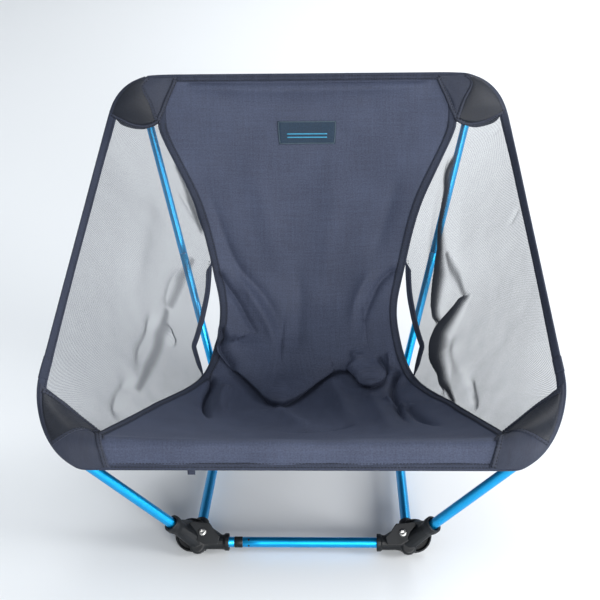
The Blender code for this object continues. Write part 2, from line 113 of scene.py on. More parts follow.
# Seat sizes
TAPE_WIDTH = 0.0100  # along the centre panel's two sides
BINDING_WIDTH = 0.0100  # round the outer edge
HEM_WIDTH = 0.0086
BINDING_HALF = 0.0014  # half the thickness of a binding folded over the edge
RIBBON_WIDTH = 0.0075  # on the vent's outer side
VENT_WIDTH = 0.032
VENT_CORNER = 0.85  # how far down the vent its corner is
VENT_BOW = 0.007  # what the seam's own curve adds, so that the vent's outer side is straight
PANEL_THICKNESS = 0.0009
NET_THICKNESS = 0.0005
PATCH_THICKNESS = 0.0010
STITCH = (0.0024, 0.0035, 0.00055)  # length, pitch and radius
LABEL_SIZE = (0.075, 0.028)
LABEL_STATIONS = (0.87, 1.14)
PATCH_SPAN = {"top": (0.04, 0.92), "front": (6.0, 7.92)}  # stations
PATCH_SIDES = (0.97, 1.985)  # acrosses
PATCH_SWELL = 0.0045
POCKET_DEPTH = {"top": 0.0150, "front": 0.0170}
# Where a binding's end lies over its start: the piece, the binding, and the rows of its path
OVERLAPS = (
    ("binding_overlap_left", "edge_binding_left", 58, 72),
    ("binding_overlap_right", "edge_binding_right", -72, -62),
)

# Frame sizes
TUBE_RADII = (0.0060, 0.0052)  # outer and inner
BACK_POLE_RADII = (0.00515, 0.0043)
TUBE_RIM = 0.0003  # rounding of a tube's ends
SLEEVE_RADIUS = 0.0064
TIP_RADIUS = 0.0065
TIP_NOSE = 0.0060  # length of a tip's rounded end
SCREW_RADIUS = 0.0044
SCREW_HEAD = 0.0022  # height of the head


# Node materials


def made(tree, kind, inputs=None, output=0, **settings):
    """Adds a node and gives one of its outputs. inputs are plain values, or the outputs of other nodes."""
    new = tree.nodes.new(kind)
    for key, value in settings.items():
        setattr(new, key, value)
    for key, value in (inputs or {}).items():
        connect(value, new.inputs[key])
    return Value(tree, new.outputs[output])


def connect(value, socket):
    """Links a node's output to the socket, or sets the socket's own value."""
    if isinstance(value, Value):
        value.tree.links.new(value.socket, socket)
    else:
        socket.default_value = value


def maths(tree, operation, first, second=0.0):
    return made(tree, "ShaderNodeMath", {0: first, 1: second}, operation=operation)


class Value:
    """What a node puts out. Sums, products and powers of it are nodes too."""

    def __init__(self, tree, socket):
        self.tree, self.socket = tree, socket

    def __add__(self, other):
        return maths(self.tree, "ADD", self, other)

    def __sub__(self, other):
        return maths(self.tree, "SUBTRACT", self, other)

    def __rsub__(self, other):
        return maths(self.tree, "SUBTRACT", other, self)

    def __mul__(self, other):
        return maths(self.tree, "MULTIPLY", self, other)

    def __pow__(self, other):
        return maths(self.tree, "POWER", self, other)

    def sine(self):
        return maths(self.tree, "SINE", self)

    def ranged(self, low, high, to_low=0.0, to_high=1.0):
        """This value from low..high onto to_low..to_high, clamped."""
        inputs = {"Value": self, "From Min": low, "From Max": high, "To Min": to_low, "To Max": to_high}
        return made(self.tree, "ShaderNodeMapRange", inputs)

    def between(self, first, second):
        """A colour that share of the way from first to second."""
        return made(self.tree, "ShaderNodeMix", {0: self, 6: first, 7: second}, 2, data_type="RGBA")

    def noise(self, scale, detail=3.0, stretch=(1, 1, 1)):
        """At this place, noise of that many bumps a metre, stretched along an axis."""
        place = made(self.tree, "ShaderNodeMapping", {"Vector": self, "Scale": stretch})
        return made(self.tree, "ShaderNodeTexNoise", {"Vector": place, "Scale": scale, "Detail": detail})


class Look:
    """A material in the making: its tree and its Principled shader."""

    def __init__(self, name, roughness, metallic=0.0, specular=0.5, sheen=0.0):
        self.material = bpy.data.materials.new(name)
        self.material.use_nodes = True
        self.tree = self.material.node_tree
        self.shader = self.tree.nodes["Principled BSDF"]
        self.set({"Roughness": roughness, "Metallic": metallic})
        self.set({"Specular IOR Level": specular, "Sheen Weight": sheen})

    def set(self, inputs):
        for key, value in inputs.items():
            connect(value, self.shader.inputs[key])

    def bump(self, height, strength, distance):
        inputs = {"Height": height, "Strength": strength, "Distance": distance}
        self.set({"Normal": made(self.tree, "ShaderNodeBump", inputs)})

    def attribute(self, name, output="Vector"):
        return made(self.tree, "ShaderNodeAttribute", output=output, attribute_name=name)

    def place(self):
        return made(self.tree, "ShaderNodeTexCoord", output="Object")


def rgb(red, green, blue):
    return (red, green, blue, 1.0)


def cloth_place(look):
    """The place on the cloth, in metres: X across the weave and Y along it."""
    place = look.attribute("cloth")
    across = made(look.tree, "ShaderNodeSeparateXYZ", {0: place})
    return place, across, Value(look.tree, across.socket.node.outputs[1])


def woven(name, dark, light, pitch, roughness=0.72, sheen=0.12, streaks=0.22, depth=0.00010, specular=0.3):
    """A plain weave: threads of that pitch, with the slubs and the uneven dye of real cloth."""
    look = Look(name, roughness, specular=specular, sheen=sheen)
    place, across, along = cloth_place(look)
    turn = 2 * pi / pitch
    threads = (across * turn).sine() * (along * turn).sine() * 0.5 + 0.5
    slubs = (place.noise(420.0, 2.0, (0.05, 1, 1)) + place.noise(420.0, 2.0, (1, 0.05, 1))) * 0.5
    tone = slubs.ranged(0.3, 0.7) * streaks + (0.5 - streaks / 2)
    tone = tone + threads * 0.28 - 0.14
    tone = tone + place.noise(14.0, 4.0).ranged(0.3, 0.7, -0.10, 0.12)
    tone = tone + place.noise(560.0, 1.0).ranged(0.3, 0.7, -0.16, 0.18)
    rough = slubs.ranged(0.3, 0.7, roughness - 0.07, roughness + 0.08)
    look.set({"Base Color": tone.between(dark, light), "Roughness": rough})
    look.set({"Sheen Roughness": 0.45, "Sheen Tint": rgb(0.62, 0.72, 1.0)})
    look.bump(threads + slubs * 1.2, 0.55, depth)
    return look.material


def see_through_mesh():
    """A fine dark net that shows what is behind it, closer where it is seen along its surface and where its
    slack lies in layers; there its colour also goes near black, a painted shade of the folds."""
    look = Look("side_mesh", 0.8, specular=0.25)
    place, across, along = cloth_place(look)
    turn = 2 * pi / 0.0021
    threads = ((across + along) * turn).sine() * 0.35 + ((across - along) * (turn / 1.7)).sine() * 0.15 + 0.5
    facing = made(look.tree, "ShaderNodeLayerWeight", {"Blend": 0.30}, "Facing")
    cover = threads * 0.22 + 0.120 + place.noise(9.0).ranged(0.3, 0.7, -0.012, 0.018)
    cover = cover + facing**2.0 * 0.85
    gather_shade = look.attribute("gather_shade", "Fac")
    cover = cover * (1.0 - gather_shade) + gather_shade
    colour = threads.between(rgb(0.030, 0.034, 0.044), rgb(0.105, 0.116, 0.140))
    # Where the slack lies in layers the colour goes near black: painted shade of the folds.
    look.set({"Base Color": (gather_shade * 0.85).between(colour, rgb(0.010, 0.012, 0.018))})
    clear = made(look.tree, "ShaderNodeBsdfTransparent")
    cloth = Value(look.tree, look.shader.outputs[0])
    both = made(look.tree, "ShaderNodeMixShader", {0: cover, 1: clear, 2: cloth})
    connect(both, look.tree.nodes["Material Output"].inputs["Surface"])
    look.bump(threads, 0.4, 0.0002)
    return look.material


def anodised(name, deep, bright, roughness):
    """Anodised tube: colour in the metal, with fine draw lines along it and a few rubbed spots."""
    look = Look(name, roughness, metallic=1.0)
    place = look.attribute("cloth")
    lines = place.noise(3200.0, 3.0, (1, 0.012, 1))
    tone = lines.ranged(0.3, 0.7, 0.0, 0.6) + place.noise(30.0).ranged(0.3, 0.7, 0.0, 0.4)
    rough = lines.ranged(0.25, 0.75, roughness - 0.06, roughness + 0.10)
    look.set({"Base Color": tone.between(deep, bright), "Roughness": rough})
    look.set({"Coat Weight": 0.35, "Coat Roughness": 0.18})
    look.bump(lines, 0.12, 0.00006)
    return look.material


def moulded(name, dark, light, roughness, specular=0.45):
    """Moulded plastic with a spark-eroded grain and paler rubbed edges."""
    look = Look(name, roughness, specular=specular)
    place = look.place()
    cloud = place.noise(60.0, 4.0)
    edge = made(look.tree, "ShaderNodeNewGeometry", output="Pointiness").ranged(0.52, 0.60, 0.0, 0.7)
    tone = cloud.ranged(0.3, 0.7, 0.0, 0.5) + edge
    rough = cloud.ranged(0.3, 0.7, roughness - 0.08, roughness + 0.10)
    look.set({"Base Color": tone.between(dark, light), "Roughness": rough})
    look.bump(place.noise(2600.0, 2.0), 0.30, 0.00010)
    return look.material


def metal(name, colour, roughness):
    """Machined metal with faint scratches."""
    look = Look(name, roughness, metallic=1.0)
    scratch = look.place().noise(900.0, 4.0, (1, 0.2, 1))
    tone = scratch.ranged(0.35, 0.65).between(scaled(colour, 0.6), colour)
    rough = scratch.ranged(0.3, 0.7, roughness - 0.05, roughness + 0.15)
    look.set({"Base Color": tone, "Roughness": rough})
    look.bump(scratch, 0.15, 0.00005)
    return look.material


def braided(name):
    """The sheath of an elastic cord."""
    look = Look(name, 0.85, sheen=0.2)
    braid = look.place().noise(1500.0, 2.0)
    look.set({"Base Color": braid.between(rgb(0.012, 0.012, 0.013), rgb(0.05, 0.05, 0.055))})
    look.bump(braid, 0.6, 0.0003)
    return look.material


def scaled(colour, share):
    return tuple(share * value for value in colour[:3]) + (1.0,)


def matt(name, colour, mottle):
    look = Look(name, 0.9, specular=0.1)
    look.set({"Base Color": look.place().noise(1.5).between(scaled(colour, mottle), colour)})
    return look.material


NAVY_DARK, NAVY_LIGHT = rgb(0.014, 0.018, 0.036), rgb(0.058, 0.072, 0.120)
CANVAS = woven("seat_fabric", NAVY_DARK, NAVY_LIGHT, 0.00105, sheen=0.05, streaks=0.34)
TAPE = woven(
    "binding_tape", rgb(0.006, 0.008, 0.018), rgb(0.032, 0.041, 0.070), 0.00110, 0.74, 0.05, 0.30, 0.0003
)
PATCH = woven(
    "patch_fabric", rgb(0.008, 0.010, 0.020), rgb(0.034, 0.042, 0.068), 0.00120, 0.62, 0.04, 0.30, 0.00025
)
POCKET = woven(
    "patch_fabric", rgb(0.002, 0.003, 0.006), rgb(0.012, 0.016, 0.027), 0.00160, 0.50, 0.02, 0.40, 0.0003, 0.36
)
# The thread is darker than the tape so the stitch rows read as dark dots: in part painted shade round each
# stitch.
THREAD_WITH_PAINTED_SHADE = woven("binding_tape", rgb(0.002, 0.003, 0.006), rgb(0.010, 0.013, 0.022), 0.0005, 0.6, 0.02)
NET = see_through_mesh()
BLUE = anodised("blue_tube", rgb(0.004, 0.290, 0.660), rgb(0.012, 0.470, 0.900), 0.40)
BARE = metal("bare_aluminium", rgb(0.66, 0.67, 0.69), 0.32)
STEEL = metal("screw_steel", rgb(0.50, 0.50, 0.49), 0.34)
HUB_BLACK = moulded("hub_plastic", rgb(0.0025, 0.0035, 0.0050), rgb(0.012, 0.015, 0.019), 0.50, 0.32)
TIP_BLACK = moulded("tip_plastic", rgb(0.010, 0.011, 0.013), rgb(0.03, 0.032, 0.036), 0.42)
BAND_BLACK = moulded("band_plastic", rgb(0.002, 0.002, 0.003), rgb(0.008, 0.009, 0.010), 0.5, 0.25)
CORD = braided("elastic_cord")
LABEL = woven("woven_label", rgb(0.004, 0.012, 0.026), rgb(0.018, 0.040, 0.072), 0.0009, sheen=0.04)
LABEL_EDGE = woven("woven_label", rgb(0.020, 0.034, 0.050), rgb(0.075, 0.110, 0.140), 0.0009, sheen=0.04)
LABEL_STRIPE = woven("woven_label", rgb(0.020, 0.130, 0.230), rgb(0.060, 0.330, 0.520), 0.0009, sheen=0.04)


# The seat's surface


def guide(knots, station):
    """A smooth curve through the knots, for an array of stations."""
    knots = np.array(knots, float)
    places, points = knots[:, 0], knots[:, 1:]
    last = len(places) - 1
    low, high = np.maximum(np.arange(last + 1) - 1, 0), np.minimum(np.arange(last + 1) + 1, last)
    slopes = (points[high] - points[low]) / (places[high] - places[low])[:, None]
    i = np.clip(np.searchsorted(places, station, side="right") - 1, 0, last - 1)
    width = (places[i + 1] - places[i])[..., None]
    t = (station[..., None] - places[i][..., None]) / width
    blend = t * t * (3 - 2 * t)
    bend = slopes[i] * (t * (1 - t) ** 2) - slopes[i + 1] * (t * t * (1 - t))
    return points[i] + (points[i + 1] - points[i]) * blend + bend * width


def plain_surface(station, across):
    """Points of the seat without its folds."""
    side, size = np.where(across < 0, -1, 1), np.abs(across)
    seam = guide(SEAM, station)
    inside = guide(CENTRE, station)
    inside += (seam - inside) * (size**2)[..., None]
    inside[..., 0] = seam[..., 0] * size
    outside = seam + (guide(EDGE, station) - seam) * (size - 1)[..., None]
    points = np.where((size <= 1)[..., None], inside, outside)
    points[..., 0] *= side
    return points + np.array([0, FRONT_HUBS_Y, HUB_HEIGHT])


def unit(vectors):
    return vectors / np.maximum(np.linalg.norm(vectors, axis=-1, keepdims=True), 1e-12)


def normals_of(points):
    """Unit normals of a grid of points, towards the sitter."""
    down, right = np.gradient(points, axis=0), np.gradient(points, axis=1)
    return unit(np.cross(down, right))


def eased(value):
    value = np.clip(value, 0, 1)
    return value * value * (3 - 2 * value)


def smooth_path(points, count=40):
    """A smooth line through a few (station, across) points."""
    points = np.array(points, float)
    ends = np.vstack([2 * points[0] - points[1], points, 2 * points[-1] - points[-2]])
    t = np.linspace(0, len(points) - 1, count)
    i = np.minimum(t.astype(int), len(points) - 2)
    t = (t - i)[:, None]
    a, b, c, d = (ends[i + k] for k in range(4))
    return b + 0.5 * t * (c - a + t * (2 * a - 5 * b + 4 * c - d + t * (3 * (b - c) + d - a)))


def bent_path(points, count=100, passes=5):
    """A path of straight runs between the points, rounded a little where it turns."""
    points = np.array(points, float)
    at = np.linspace(0, len(points) - 1, count)
    path = np.stack([np.interp(at, np.arange(len(points)), column) for column in points.T], axis=-1)
    for _ in range(passes):
        path[1:-1] = (path[:-2] + 2 * path[1:-1] + path[2:]) / 4
    return path


FOLD_GAIN = 1.9

# Folds and creases of the seat: a path of (station, across) points, the height in metres (towards the
# sitter if above 0), the half width in metres, and how much of the path's length each end fades over.
RIDGES = (
    # the back: soft folds from the vents' upper ends to the lap line
    (((2.1, -0.97), (2.5, -0.88), (3.1, -0.68), (3.45, -0.49)), -0.0042, 0.0052, 0.15, 0.4),
    (((2.2, -0.80), (2.8, -0.62), (3.4, -0.38), (4.0, -0.28)), 0.0040, 0.0100, 0.3, 0.4),
    (((1.3, -0.86), (1.75, -0.84), (2.3, -0.72), (2.9, -0.45), (3.4, -0.26)), -0.0032, 0.0090, 0.4, 0.3),
    (((2.05, 0.96), (2.4, 0.80), (2.7, 0.72), (3.0, 0.65), (3.4, 0.56)), -0.0040, 0.0055, 0.15, 0.4),
    (((2.2, 0.70), (2.8, 0.55), (3.4, 0.48)), 0.0032, 0.0090, 0.3, 0.4),
    (((2.3, -0.12), (2.9, -0.10), (3.65, -0.13)), -0.0022, 0.0120, 0.4, 0.2),
    (((1.2, 0.25), (2.0, 0.22), (2.9, 0.12)), 0.0016, 0.0200, 0.4, 0.4),
    (((1.1, -0.45), (1.8, -0.40), (2.6, -0.30)), 0.0016, 0.0220, 0.4, 0.4),
    (((1.3, 0.75), (1.7, 0.74), (2.2, 0.66)), -0.0020, 0.0120, 0.4, 0.4),
    (((0.25, -0.9), (0.30, -0.3), (0.28, 0.4), (0.26, 0.9)), 0.0016, 0.0080, 0.15, 0.15),
    (((0.15, -0.90), (0.16, -0.4), (0.15, 0.2), (0.15, 0.90)), -0.0016, 0.0030, 0.06, 0.06),
    (((0.55, -0.8), (0.62, 0.0), (0.55, 0.8)), -0.0012, 0.0140, 0.3, 0.3),
    # creases from the vents' lower ends
    (((3.1, -0.99), (3.45, -0.88), (3.7, -0.74), (3.85, -0.66)), -0.0055, 0.0042, 0.15, 0.3),
    (((3.95, -0.93), (4.15, -0.87), (4.5, -0.80), (4.9, -0.68), (5.2, -0.58)), -0.0075, 0.0042, 0.1, 0.4),
    (((4.1, -0.74), (4.6, -0.66), (5.1, -0.50)), 0.0040, 0.0090, 0.2, 0.4),
    (((3.85, 0.90), (4.1, 0.78), (4.4, 0.71), (4.9, 0.65), (5.4, 0.62)), -0.0075, 0.0044, 0.1, 0.4),
    (((4.45, 0.62), (4.7, 0.70), (4.75, 0.80)), 0.0045, 0.0040, 0.2, 0.4),
    (((4.6, 0.74), (5.1, 0.72), (5.6, 0.78)), -0.0045, 0.0050, 0.2, 0.4),
    (((4.2, 0.55), (4.9, 0.52), (5.6, 0.50)), 0.0030, 0.0120, 0.2, 0.4),
    # puckers at the right end of the lap line
    (((3.52, 0.46), (3.60, 0.56), (3.64, 0.66)), 0.0030, 0.0040, 0.3, 0.3),
    (((3.60, 0.72), (3.75, 0.76), (3.95, 0.78)), -0.0045, 0.0036, 0.3, 0.3),
    (((3.55, 0.84), (3.72, 0.84), (3.85, 0.80)), 0.0035, 0.0034, 0.3, 0.3),
    # the bulges of slack behind the lap line
    (((3.60, 0.47), (3.85, 0.55), (4.0, 0.60)), 0.0040, 0.0120, 0.3, 0.2),
    # the seat: two soft peaks of slack
    (((3.85, 0.22), (4.4, 0.27), (5.2, 0.30)), 0.0050, 0.0130, 0.2, 0.4),
    (((4.6, -0.25), (5.0, -0.10), (5.5, 0.10)), 0.0036, 0.0160, 0.2, 0.4),
    (((5.2, 0.33), (5.35, 0.10), (5.45, -0.15)), -0.0026, 0.0080, 0.3, 0.3),
    # left mesh panel
    (((1.45, -1.18), (1.58, -1.09), (1.72, -1.01)), -0.0040, 0.0045, 0.3, 0.3),
    (((2.1, -1.10), (2.8, -1.32), (3.3, -1.37), (3.6, -1.34)), -0.0030, 0.0080, 0.3, 0.3),
    (((3.7, -1.46), (4.0, -1.41), (4.4, -1.37), (4.8, -1.28)), -0.0050, 0.0100, 0.3, 0.4),
    (((3.75, -1.36), (3.9, -1.30), (3.97, -1.24)), 0.0045, 0.0050, 0.3, 0.3),
    (((4.8, -1.28), (5.2, -1.22), (5.6, -1.05)), -0.0040, 0.0090, 0.3, 0.3),
    (((1.3, -1.5), (2.6, -1.62), (4.2, -1.6)), 0.0040, 0.0240, 0.4, 0.4),
    # right mesh panel
    (((1.1, 1.06), (1.7, 1.16), (2.6, 1.20), (3.4, 1.18)), -0.0040, 0.0100, 0.3, 0.3),
    (((1.7, 1.42), (2.7, 1.47), (3.4, 1.46)), 0.0040, 0.0080, 0.3, 0.3),
    (((4.0, 1.36), (4.4, 1.28), (4.8, 1.22)), 0.0026, 0.0100, 0.3, 0.3),
    (((4.7, 1.24), (5.0, 1.16), (5.3, 1.06)), -0.0026, 0.0060, 0.3, 0.3),
    (((1.18, 1.86), (1.26, 1.74)), -0.0010, 0.0036, 0.3, 0.3),
    (((2.95, 1.95), (3.15, 1.86)), -0.0010, 0.0036, 0.3, 0.3),
)
# A lap is a fold that hangs over the cloth on its right-hand side, seen along its path: it has its height,
# how far its rim hangs over, how far behind the rim the cloth starts to rise, how wide the part that turns
# under is, how far behind the rim the fold is highest, and the rim's share of its height.
LAPS = (
    # the lap line, where the back's slack hangs over the seat, with two lobes
    (
        (
            (3.30, -0.97), (3.47, -0.93), (3.65, -0.80), (3.96, -0.54), (4.22, -0.38), (4.52, -0.235),
            (4.32, -0.14), (3.96, 0.03), (3.74, 0.22), (3.72, 0.34), (3.75, 0.46), (3.92, 0.52),
            (4.10, 0.575), (4.02, 0.68), (3.70, 0.81),
        ),
        0.0150, 0.0120, 0.0950, 0.0040, 0.0180, 0.50,
    ),
    # folds of the right mesh
    (
        ((1.22, 1.20), (1.59, 1.34), (2.47, 1.38), (2.92, 1.35), (3.35, 1.30), (3.71, 1.29)),
        0.0080, 0.0030, 0.0300, 0.0090, 0.0, 1.0,
    ),
    (
        ((3.61, 1.54), (3.71, 1.44), (3.75, 1.30), (3.87, 1.23), (4.10, 1.18), (4.40, 1.15), (4.72, 1.04)),
        0.0090, 0.0030, 0.0300, 0.0090, 0.0, 1.0,
    ),
)
# Where the slack of a mesh panel gathers and lies in several layers, and where its folds get painted shade:
# (station, across, width) points down each fold, how closed it is, and how soft its sharper side is.
GATHERS_AND_SHADE = (
    (
        (
            (1.22, 1.20, 0.003), (1.59, 1.34, 0.006), (2.47, 1.38, 0.009), (2.92, 1.35, 0.014),
            (3.35, 1.30, 0.010), (3.71, 1.29, 0.002),
        ),
        0.95, 0.0020,
    ),
    (
        (
            (3.61, 1.54, 0.001), (3.71, 1.44, 0.008), (3.75, 1.30, 0.017), (3.87, 1.23, 0.023),
            (4.10, 1.18, 0.020), (4.40, 1.15, 0.011), (4.72, 1.04, 0.006), (4.97, 0.99, 0.002),
        ),
        0.97, 0.0020,
    ),
    (((4.85, 1.23, 0.003), (5.05, 1.14, 0.006), (5.29, 1.06, 0.003)), 0.40, 0.0030),
    (((2.70, 1.45, 0.003), (3.2, 1.475, 0.006), (3.6, 1.49, 0.003)), 0.45, 0.0060),
    (((1.25, -1.0, 0.003), (1.5, -1.06, 0.006), (1.75, -1.03, 0.003)), 0.50, 0.0040),
    (((2.2, -1.19, 0.003), (2.85, -1.31, 0.008), (3.5, -1.35, 0.004)), 0.30, 0.0080),
    (((3.5, -1.37, 0.003), (3.98, -1.36, 0.010), (4.53, -1.28, 0.009), (5.0, -1.16, 0.003)), 0.34, 0.0080),
)
NEAR = 0.10  # folds reach no further than this


def surface_line(path):
    """Points of the surface without folds, along a path of (station, across) rows."""
    return plain_surface(path[:, 0], path[:, 1])


def window(points, line):
    """The rows and columns of the grid that lie near the line."""
    near = np.all((points > line.min(axis=0) - NEAR) & (points < line.max(axis=0) + NEAR), axis=-1)
    rows, columns = np.flatnonzero(near.any(axis=1)), np.flatnonzero(near.any(axis=0))
    return slice(rows[0], rows[-1] + 1), slice(columns[0], columns[-1] + 1)


def beside(grid, normal, line):
    """For each grid point: its distance from the line, above 0 on the line's left, where along the line it
    is, from 0 to 1, and the direction across the line to its right."""
    start, run = line[:-1], np.diff(line, axis=0)
    far, left = np.full(grid.shape[:2], 9.0), np.zeros(grid.shape[:2])
    place, across = np.zeros(grid.shape[:2]), np.zeros(grid.shape)
    for k, step in enumerate(run):
        offset = grid - start[k]
        t = np.clip(offset @ step / (step @ step), 0, 1)
        offset = offset - t[..., None] * step
        distance = np.linalg.norm(offset, axis=-1)
        rightward = np.cross(step, normal)
        near = distance < far
        far[near], place[near], across[near] = distance[near], ((k + t) / len(run))[near], rightward[near]
        left[near] = -np.sign(np.einsum("ijk,ijk->ij", offset, rightward))[near]
    return far * np.where(left < 0, -1, 1), place, unit(across)


def faded(place, start, end):
    """1 along a path, eased down to 0 over the start's and the end's share of it."""
    return eased(place / start) * eased((1 - place) / end)


def folded(points, normal):
    """How the folds move the points of the surface."""
    moved = np.zeros(points.shape)
    for knots, rise, width, fade_in, fade_out in RIDGES:
        line = surface_line(smooth_path(knots))
        part = window(points, line)
        far, place, _ = beside(points[part], normal[part], line)
        height = FOLD_GAIN * rise * faded(place, fade_in, fade_out) / (1 + (far / width) ** 2) ** 1.5
        moved[part] += normal[part] * height[..., None]
    for knots, rise, overhang, behind, step, peak, rim in LAPS:
        line = surface_line(bent_path(knots))
        part = window(points, line)
        far, place, across = beside(points[part], normal[part], line)
        fade = faded(place, 0.10, 0.10) * (abs(far) < NEAR)
        under = eased(-far / step)
        hollow = 0.3 * under * np.exp(-np.maximum(-far - step, 0) / 0.018)
        front = rim + (1 - rim) * np.sin(np.clip(far / max(peak, 1e-6), 0, 1) * pi / 2)
        slope = (behind - peak) * (0.15 + 0.85 * faded(place, 0.35, 0.25))
        height = np.where(far > peak, eased((peak + slope - far) / slope), front)
        height = np.where(far > 0, height, rim * (1 - under) - hollow)
        reach = np.where(far > 0, np.exp(-((far / 0.030) ** 2)), 1 - under)
        moved[part] += normal[part] * (rise * fade * height)[..., None]
        moved[part] += across * (overhang * fade * reach)[..., None]
    return moved


def gather_and_shade(points, normal):
    """How much of the mesh's slack lies in layers at each point, from 0 to 1, which also darkens its colour as
    painted shade.
    """
    total = np.zeros(points.shape[:2])
    for knots, closed, soft in GATHERS_AND_SHADE:
        path = bent_path(knots)
        line = surface_line(path)
        part = window(points, line)
        far, place, _ = beside(points[part], normal[part], line)
        width = np.interp(place, np.linspace(0, 1, len(path) - 1), path[1:, 2])
        shade = np.where(far > 0, eased((1.5 - far / width) / 1.1), eased(1 + far / soft))
        total[part] = np.maximum(total[part], closed * shade * faded(place, 0.06, 0.06))
    return total[..., None]


def distances(points, axis=0):
    """How far along its row or column each point is."""
    steps = np.linalg.norm(np.diff(points, axis=axis), axis=-1)
    return np.insert(np.cumsum(steps, axis=axis), 0, 0, axis=axis)


class Surface:
    """The seat's surface as a fine grid, read between its points with a smooth cubic."""

    def __init__(self, rows=401, columns=361):
        self.rows, self.columns = rows, columns
        station, across = np.meshgrid(np.linspace(0, 8, rows), np.linspace(-2, 2, columns), indexing="ij")
        points = plain_surface(station, across)
        normal = normals_of(points)
        inset = np.linalg.norm(points - plain_surface(station, np.where(across < 0, -2.0, 2.0)), axis=-1)
        quiet = eased(inset / 0.020) * eased(station / 0.12) * eased((8 - station) / 0.3)
        slack = np.zeros_like(station)
        for i in range(rows):
            for j in range(columns):
                spot = Vector(points[i, j])
                slack[i, j] = noise.noise(spot * 16) * 0.0016 + noise.noise(spot * 47) * 0.00045
        moved = folded(points, normal) + normal * slack[..., None]
        self.gather_shade = gather_and_shade(points, normal)
        self.points = points + moved * quiet[..., None]
        self.normals = normals_of(self.points)
        u = distances(points, 1)
        u -= u[:, columns // 2 : columns // 2 + 1]
        self.cloth = np.stack([u, distances(points, 0), np.zeros_like(u)], axis=-1)

    def read(self, grid, station, across):
        """Values of a grid at stations and acrosses, by Catmull-Rom in both directions."""
        station, across = np.broadcast_arrays(np.asarray(station, float), np.asarray(across, float))
        i = np.clip(station, 0, 8) / 8 * (self.rows - 1)
        j = (np.clip(across, -2, 2) + 2) / 4 * (self.columns - 1)
        i0, j0 = np.minimum(i.astype(int), self.rows - 2), np.minimum(j.astype(int), self.columns - 2)
        total = 0
        for m, row_share in enumerate(cubic_shares(i - i0)):
            for n, column_share in enumerate(cubic_shares(j - j0)):
                row = np.clip(i0 + m - 1, 0, self.rows - 1)
                column = np.clip(j0 + n - 1, 0, self.columns - 1)
                total = total + grid[row, column] * (row_share * column_share)[..., None]
        return total

    def row(self, station, across, lift=0.0):
        """Points that far above the surface, on the sitter's side, and the normals there."""
        normal = unit(self.read(self.normals, station, across))
        return self.read(self.points, station, across) + normal * np.asarray(lift, float)[..., None], normal

    def at(self, station, across, lift=0.0):
        return self.row(station, across, lift)[0]


def cubic_shares(t):
    return (
        0.5 * (-t + 2 * t**2 - t**3),
        0.5 * (2 - 5 * t**2 + 3 * t**3),
        0.5 * (t + 4 * t**2 - 3 * t**3),
        0.5 * (t**3 - t**2),
    )


SEAT = Surface()


# Mesh pieces


def placed(name, data):
    """A new object in the scene."""
    obj = bpy.data.objects.new(name, data)
    bpy.context.scene.collection.objects.link(obj)
    return obj


def mesh_piece(name, points, faces, material, body="seat", cloth=None):
    """A piece of points and faces that rides on a body, its faces turned outwards."""
    points = np.asarray(points, float)
    a, b, c, d = (points[[face[k] for face in faces]] for k in (0, 1, 2, -1))
    if sum(np.einsum("ij,ij->", a, np.cross(*others)) for others in ((b, c), (c, d))) < 0:
        faces = [face[::-1] for face in faces]
    mesh = bpy.data.meshes.new(name)
    mesh.from_pydata([tuple(p) for p in points], [], faces)
    if cloth is not None:
        layer = mesh.attributes.new("cloth", "FLOAT_VECTOR", "POINT")
        layer.data.foreach_set("vector", np.asarray(cloth, np.float32).ravel())
    mesh.materials.append(material)
    mesh.shade_smooth()
    mesh.update()
    obj = placed(name, mesh)
    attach(obj, body)
    return obj


def grid_faces(rows, columns, offset=0, flip=False):
    faces = []
    for i in range(rows - 1):
        for j in range(columns - 1):
            a = offset + i * columns + j
            face = (a, a + columns, a + columns + 1, a + 1)
            faces.append(face[::-1] if flip else face)
    return faces


def ring_faces(rings, sides, first=0, closed=False):
    """Faces between rings of points, from one ring to the next, and back to the first where it is closed."""
    faces = []
    for i in range(rings if closed else rings - 1):
        for j in range(sides):
            a, b = first + i * sides + j, first + i * sides + (j + 1) % sides
            ahead = sides if i + 1 < rings else -i * sides
            faces.append((a, b, b + ahead, a + ahead))
    return faces


def rim_faces(rows, columns):
    """Faces that join the edges of a top grid to the bottom grid that follows it."""
    top = list(range(columns))
    right = [i * columns + columns - 1 for i in range(rows)]
    bottom = [(rows - 1) * columns + j for j in range(columns)][::-1]
    left = [i * columns for i in range(rows)][::-1]
    loop = top + right[1:] + bottom[1:] + left[1:]
    under = rows * columns
    return [(a, b, b + under, a + under) for a, b in zip(loop[:-1], loop[1:], strict=True)]


def layered(name, upper, lower, cloth, material):
    """A closed sheet between an upper and a lower grid of points."""
    rows, columns = upper.shape[:2]
    points = np.concatenate([upper.reshape(-1, 3), lower.reshape(-1, 3)])
    faces = grid_faces(rows, columns) + grid_faces(rows, columns, rows * columns, flip=True)
    faces += rim_faces(rows, columns)
    both = np.concatenate([cloth.reshape(-1, 3)] * 2)
    return mesh_piece(name, points, faces, material, cloth=both)


def laid(name, station, across, material, thickness, lift=0.0, round_edges=0.0):
    """A sheet laid on the seat: station and across are grids. lift is of its middle, a number or a grid.
    round_edges thins it towards its two long edges."""
    half = thickness / 2 * (1 - round_edges * np.abs(np.linspace(-1, 1, station.shape[1])) ** 6)
    half = np.broadcast_to(half, station.shape)
    upper, lower = SEAT.at(station, across, lift + half), SEAT.at(station, across, lift - half)
    return layered(name, upper, lower, SEAT.read(SEAT.cloth, station, across), material)


